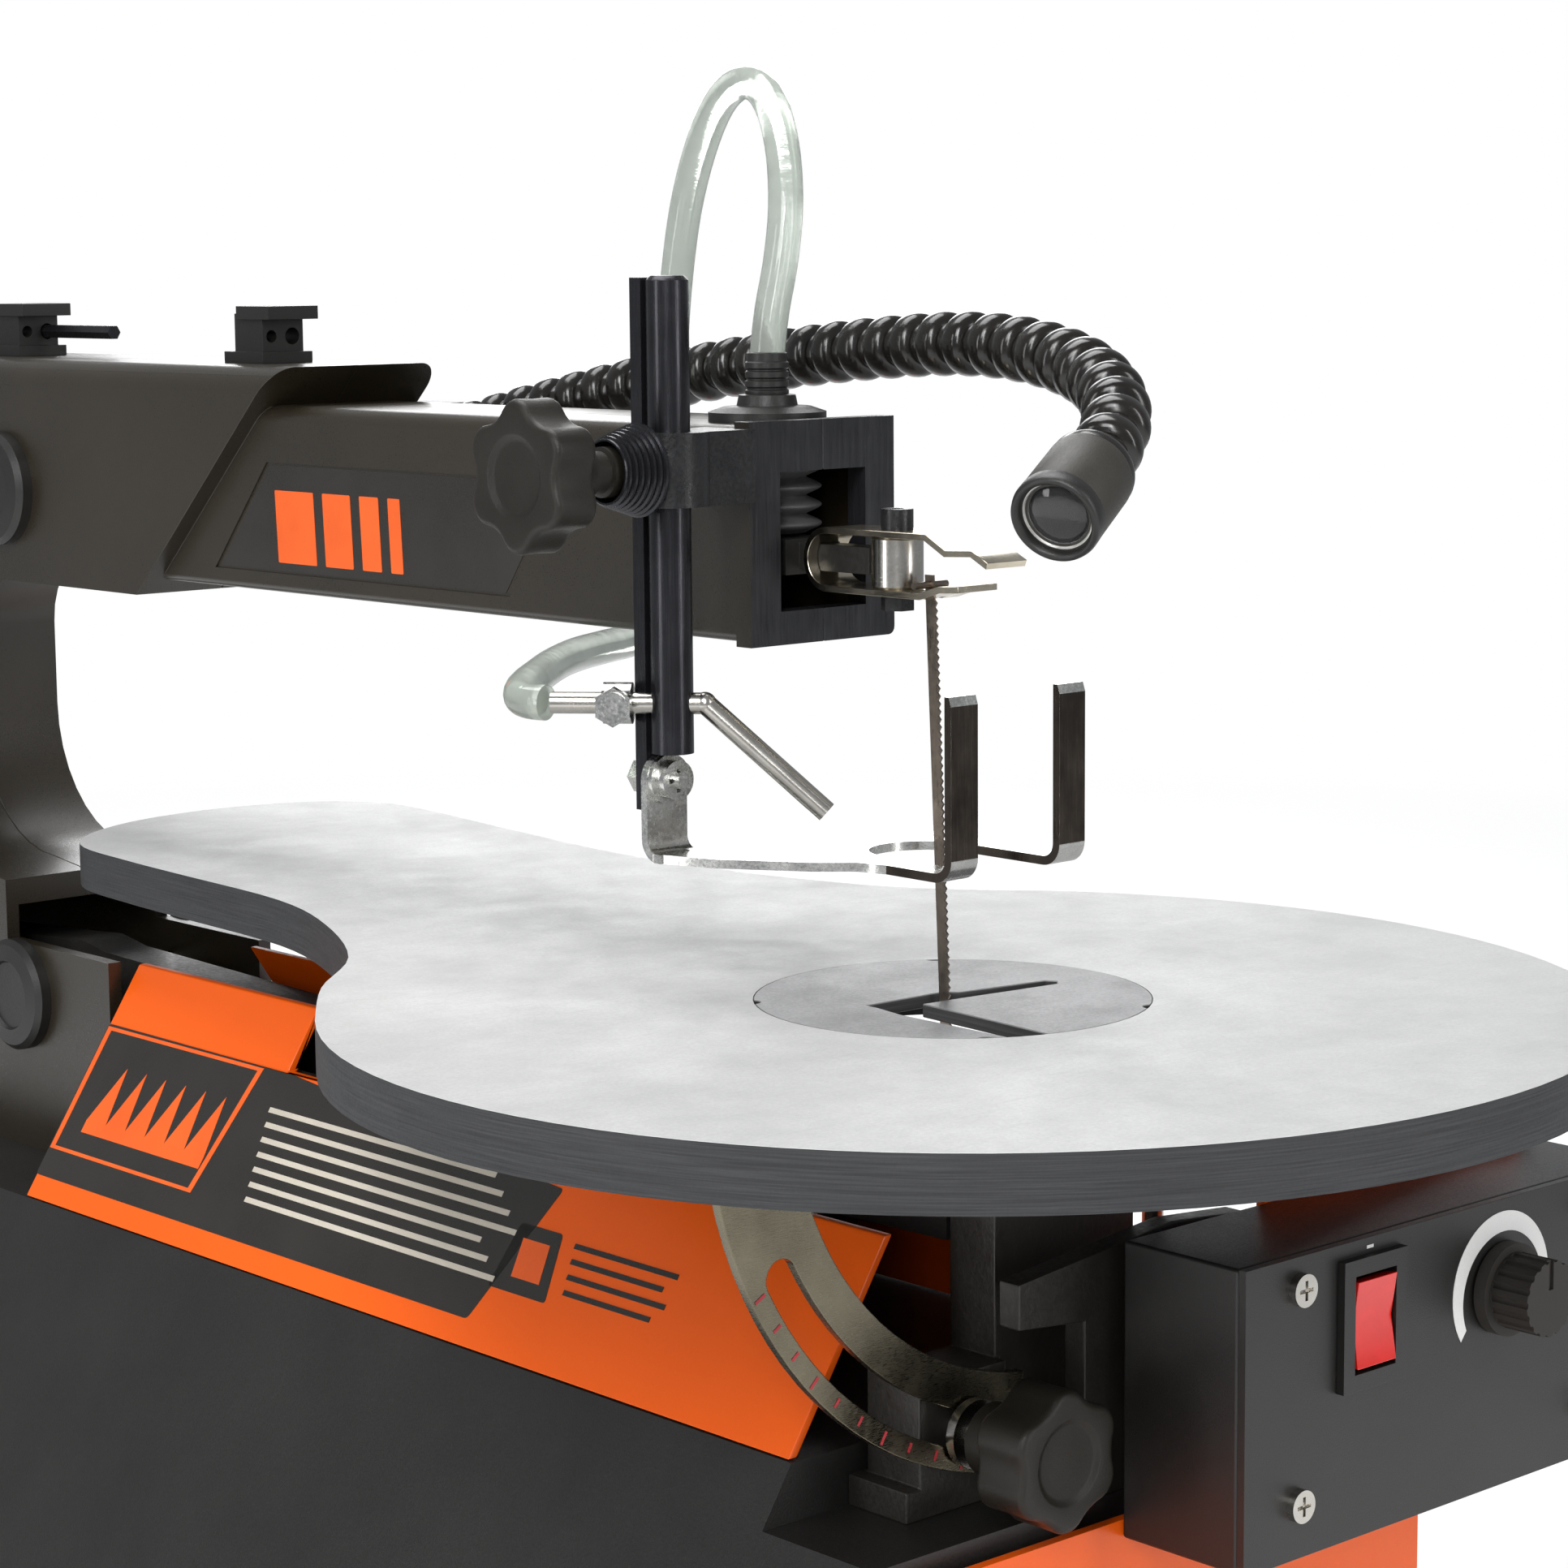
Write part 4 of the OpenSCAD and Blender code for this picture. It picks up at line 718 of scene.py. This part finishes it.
# ---- bead chain and lamp ----

PITCH, BEADS, GROUP = 9.7, 30, 10


def light_way(s):
    """The chain's direction at s millimetres from its bracket."""
    az = math.radians(-80 - 14 * min(s / 150, 1) - 77 * (max(s - 156, 0) / 150) ** 2.3)
    el = math.radians(14 - 11.3 * s / 178 if s < 178 else 2.7 - 19.6 * (s - 178) / 85)
    return Vector((math.cos(el) * math.cos(az), math.cos(el) * math.sin(az), math.sin(el)))


beads_at = [P(31.5, 218, 116)]
for i in range(1, BEADS + 1):
    beads_at.append(beads_at[-1] + light_way((i - 0.5) * PITCH) * PITCH / 1000)


def on_bead(i):
    """Where bead i stands; its axis follows the chain."""
    return basis(beads_at[i], light_way((i + 0.5) * PITCH))


def bead_profile():
    """A ball, a waist and a round socket, near a sphere outside, that grips the next ball."""
    ball_r, socket_r, half, middle = 5.2, 7.45, 3.55, 6.85
    ball = [(max(r, 0), h) for r, h in arc(0, 0, ball_r, -90, 30, 10)]
    ring = []
    for k in range(17):
        h = -half + 2 * half * k / 16
        ring.append((math.sqrt(socket_r ** 2 - h * h) - 1.35 * abs(h / half) ** 5, middle + h))
    return ball + [(4.5, 2.6), (4.75, 3.1)] + ring + [(4.7, 10.55), (0, 10.2)]


profile = bead_profile()
for k, (name, node) in enumerate((("gooseneck_back_beads", "gooseneck_back"),
                                  ("gooseneck_middle_beads", "gooseneck_middle"),
                                  ("gooseneck_front_beads", "lamp_head"))):
    me = join(name, [lathe("bead", profile, 44, on_bead(i)) for i in range(k * GROUP, (k + 1) * GROUP)])
    smooth_by(me, 50)
    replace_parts(add(name, me, M["beads"], node), node)
lamp_at = on_bead(BEADS)
collar = [(0, -5.2)] + arc(0, 0, 5.2, -60, 25, 6) + [(5.4, 3.2)] + arc(4.6, 8.2, 4.7, -70, -8, 8)
dome = [(7.35 * math.sin(math.radians(a)), 25.2 + 2.9 * math.cos(math.radians(a))) for a in range(90, -1, -9)]
led = [(0, 21.45), (1.5, 21.5), (1.5, 22.1), (1.2, 22.7), (0.6, 23.1), (0, 23.2)]
for name, look, sides, angle, prof in (
        ("lamp_collar", "beads", 56, 40, collar + [(9.2, 8.6), (8.6, 8.8), (0, 8.8)]),
        ("lamp_barrel", "lamp", 64, 40, [(0, 8.2), (8.8, 8.2), (9.25, 8.7), (9.4, 9.5), (9.5, 26.2),
                                         (9.3, 26.5), (0, 26.5)]),
        ("lamp_rim", "plastic", 64, 50, [(6.6, 24.5), (9.3, 24.6), (9.55, 25.2), (9.6, 27.6), (9.35, 28.5),
                                         (8.8, 28.95), (8.3, 28.9), (7.8, 28.3), (7.5, 27.2), (7.4, 25.0),
                                         (6.6, 24.5)]),
        ("lamp_reflector", "bright", 56, 50, [(0, 21.4), (2.6, 21.5), (5.2, 23.3), (7.3, 26.9),
                                              (7.45, 26.9), (7.45, 21.2), (0, 21.2)]),
        ("lamp_led", "white", 32, 50, led),
        ("lamp_lens", "lens", 56, 50, [(0, 24.9)] + dome)):
    if name == "lamp_led":
        me = join(name, [lathe("led", prof, sides, lamp_at @ Matrix.Translation((x / 1000, y / 1000, 0)))
                         for x, y in ((0, 1.9), (1.7, -1.0), (-1.7, -1.0))])
    else:
        me = lathe(name, prof, sides, lamp_at)
    smooth_by(me, angle)
    add(name, me, M[look], "lamp_head")

# ---- bellows ----

FOLDS, BELLOWS_LOW, BELLOWS_TALL = 5, 99.7, 21.2
prof = [(0, BELLOWS_LOW)]
for k in range(61):
    t = k / 60
    w = 0.5 - 0.5 * math.cos(2 * math.pi * FOLDS * t)
    prof.append((8.7 + 3.6 * w ** 0.7, BELLOWS_LOW + BELLOWS_TALL * t))
prof.append((0, BELLOWS_LOW + BELLOWS_TALL))
me = lathe("bellows", prof, 56, Matrix.Translation(P(0, HOSE_Y, 0)))
smooth_by(me, 60)
bellows = add("bellows", me, M["rubber"])
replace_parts(bellows, "pump_bellows")
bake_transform(bellows, "frame", "upper_arm", start=P(0, 59.6, 120.5), end=P(0, 59.6, 100))

# ---- labels and scales ----

SLOPE = math.tan(math.radians(57))      # of the side panels


def on_flank(u, v, lift):
    """u runs along the machine (y), v is the height; on the left side panel's face."""
    x = (v + 1.4) / SLOPE
    n = Vector((-SLOPE, 0, 1)).normalized() * lift
    return P(x + n.x, u, v + n.z)


def on_arm(u, v, lift):
    """On the left face of the slim arm."""
    return P(-21.5 - lift, u, v)


def on_box(u, v, lift):
    """On the face plate of the control box."""
    return P(u, -84 - lift, v)


def on_bracket(u, v, lift):
    """On the front of the bevel bracket."""
    return P(u, -31.2 - lift, v)


decal("panel_label", [(302, -47), (302, -85.2), (108, -85.2), (95, -55), (216, -47)], on_flank,
      M["print_dark"], "frame", 0.1, 1.2)
frame_out = [(301.5, -47.6), (301.5, -78.5), (232, -78.5), (226, -47.6)]
frame_mid = sum((Vector(q) for q in frame_out), Vector((0, 0))) / 4
for i in range(4):
    a, b = Vector(frame_out[i]), Vector(frame_out[(i + 1) % 4])
    ia, ib = a + (frame_mid - a) * 0.055, b + (frame_mid - b) * 0.055
    decal(f"panel_frame_{i}", [a, b, ib, ia], on_flank, M["print_orange"], "frame", 0.2)
# a plain saw-tooth emblem inside the frame
TEETH, TOOTH, TEETH_FROM = 6, 9.6, 291
teeth = []
for k in range(TEETH):
    u0 = TEETH_FROM - TOOTH * k
    teeth += [(u0, -70), (u0 - 7.2, -56)]
u1 = TEETH_FROM - TOOTH * TEETH
decal("panel_emblem", teeth + [(u1, -70), (u1, -73), (TEETH_FROM, -73)], on_flank, M["print_orange"],
      "frame", 0.2)
for k in range(7):
    v = -55.4 - 3.35 * k
    u0 = 216 - 1.2 * k
    u1 = u0 - 96 - 4 * ((k * 5) % 4)
    decal(f"panel_line_{k}", [(u0, v), (u1, v), (u1, v - 1.2), (u0, v - 1.2)], on_flank, M["print_pale"],
          "frame", 0.16)
decal("small_label", [(104, -63.6), (88.5, -63.6), (84.5, -77.6), (106, -77.6)], on_flank, M["print_dark"],
      "frame", 0.1, 1)
decal("small_emblem", [(101, -66.5), (91, -66.5), (89, -74.5), (99.5, -74.5)], on_flank,
      M["print_orange"], "frame", 0.18)
for k in range(4):
    v = -64.6 - 3.1 * k
    u0, u1 = 83 - k, 46 + 3 * (k % 2)
    decal(f"small_line_{k}", [(u0, v), (u1, v), (u1, v - 1.1), (u0, v - 1.1)], on_flank, M["print_dark"],
          "frame", 0.14)

decal("arm_label", [(251.5, 82.6), (130, 82.6), (110, 109.9), (228, 109.9)], on_arm, M["print_dark"],
      "frame", 0.12, 0.8)
for k, (u, w) in enumerate(((226, 17), (205, 12), (189, 8), (177, 5))):
    decal(f"arm_mark_{k}", [(u, 103.4), (u - w, 103.4), (u - w - 1.1, 84.8), (u - 1.1, 84.8)], on_arm,
          M["print_orange"], "frame", 0.25, 0.4)

# dial scale, switch marks, tilt scale
pts = arc(0, 0, 17.2, -25, 215, 40) + arc(0.6, -1.6, 14.2, 205, -15, 40)
decal("dial_scale", [(88 + a, -66 + b) for a, b in pts], on_box, M["white"], "frame", 0.14)
decal("switch_mark_on", [(40.9, -47.7), (43.1, -47.7), (43.1, -48.4), (40.9, -48.4)], on_box, M["white"],
      "frame", 0.14)

MARKS, MARK_FROM, MARK_HALF = 10, 95.2, 0.35
for k in range(MARKS):
    r1 = 97.4 if k % 3 else 98.2
    c, s = polar(1, TILT_FROM - 5 * k)
    corners = ((MARK_FROM, 1), (r1, 1), (r1, -1), (MARK_FROM, -1))
    outline = [(r * c + side * MARK_HALF * s, r * s - side * MARK_HALF * c) for r, side in corners]
    decal(f"tilt_mark_{k}", outline, on_bracket, M["print_red"], "table", 0.12)

# ---- floor, light ----

# white paper that fades out away from the machine
floor_me = lathe("floor", [(0, 0), (600, 0), (1500, 0), (3500, 0), (8000, 0)], 96)
floor = bpy.data.objects.new("floor", floor_me)
links.link(floor)
floor.location = (0, 0, -0.0005)
g = Graph("floor_paper")
n = g.noise(3, 3)
g.link(g.mix(n, (0.9, 0.9, 0.9), (0.93, 0.93, 0.93)), g.bsdf.inputs["Base Color"])
g.set(Roughness=0.7)
far = g.t.nodes.new("ShaderNodeVectorMath")
far.operation = "LENGTH"
g.link(g.obj, far.inputs[0])
g.link(g.remap(far.outputs["Value"], 0.62, 1.7, 1, 0), g.bsdf.inputs["Alpha"])
floor_me.materials.append(g.mat)

# the camera sees white, everything else sees a dimmer room
world = bpy.data.worlds.new("world")
world.use_nodes = True
tree = world.node_tree
seen = tree.nodes["Background"]
room = tree.nodes.new("ShaderNodeBackground")
for node, colour, strength in ((seen, (1, 1, 1, 1), 1.0), (room, (0.93, 0.96, 1, 1), 0.33)):
    node.inputs[0].default_value = colour
    node.inputs[1].default_value = strength
path = tree.nodes.new("ShaderNodeLightPath")
pick = tree.nodes.new("ShaderNodeMixShader")
tree.links.new(path.outputs["Is Camera Ray"], pick.inputs[0])
tree.links.new(room.outputs[0], pick.inputs[1])
tree.links.new(seen.outputs[0], pick.inputs[2])
tree.links.new(pick.outputs[0], tree.nodes["World Output"].inputs[0])
scene.world = world


def softbox(name, at, size, power, size_y=None):
    """A square lamp, or a strip where size_y is given; at and the sizes are in metres."""
    d = bpy.data.lights.new(name, "AREA")
    d.shape = "RECTANGLE" if size_y else "SQUARE"
    d.size = size
    if size_y:
        d.size_y = size_y
    d.energy = power
    o = bpy.data.objects.new(name, d)
    links.link(o)
    aim(o, at, P(0, 120, 20))


softbox("key", (-1.25, -0.9, 1.35), 0.7, 14)
softbox("left_strip", (-1.5, 0.15, 0.55), 0.3, 6, 1.2)
softbox("right_strip", (0.35, -1.5, 0.6), 0.22, 6, 1.2)
softbox("top", (0.1, 0.35, 1.7), 1.1, 22)
softbox("camera_strip", (-1.05, -1.15, 0.95), 0.2, 8, 1.0)
softbox("back", (1.1, 1.2, 0.9), 0.8, 9)
scene.view_settings.view_transform = "Standard"
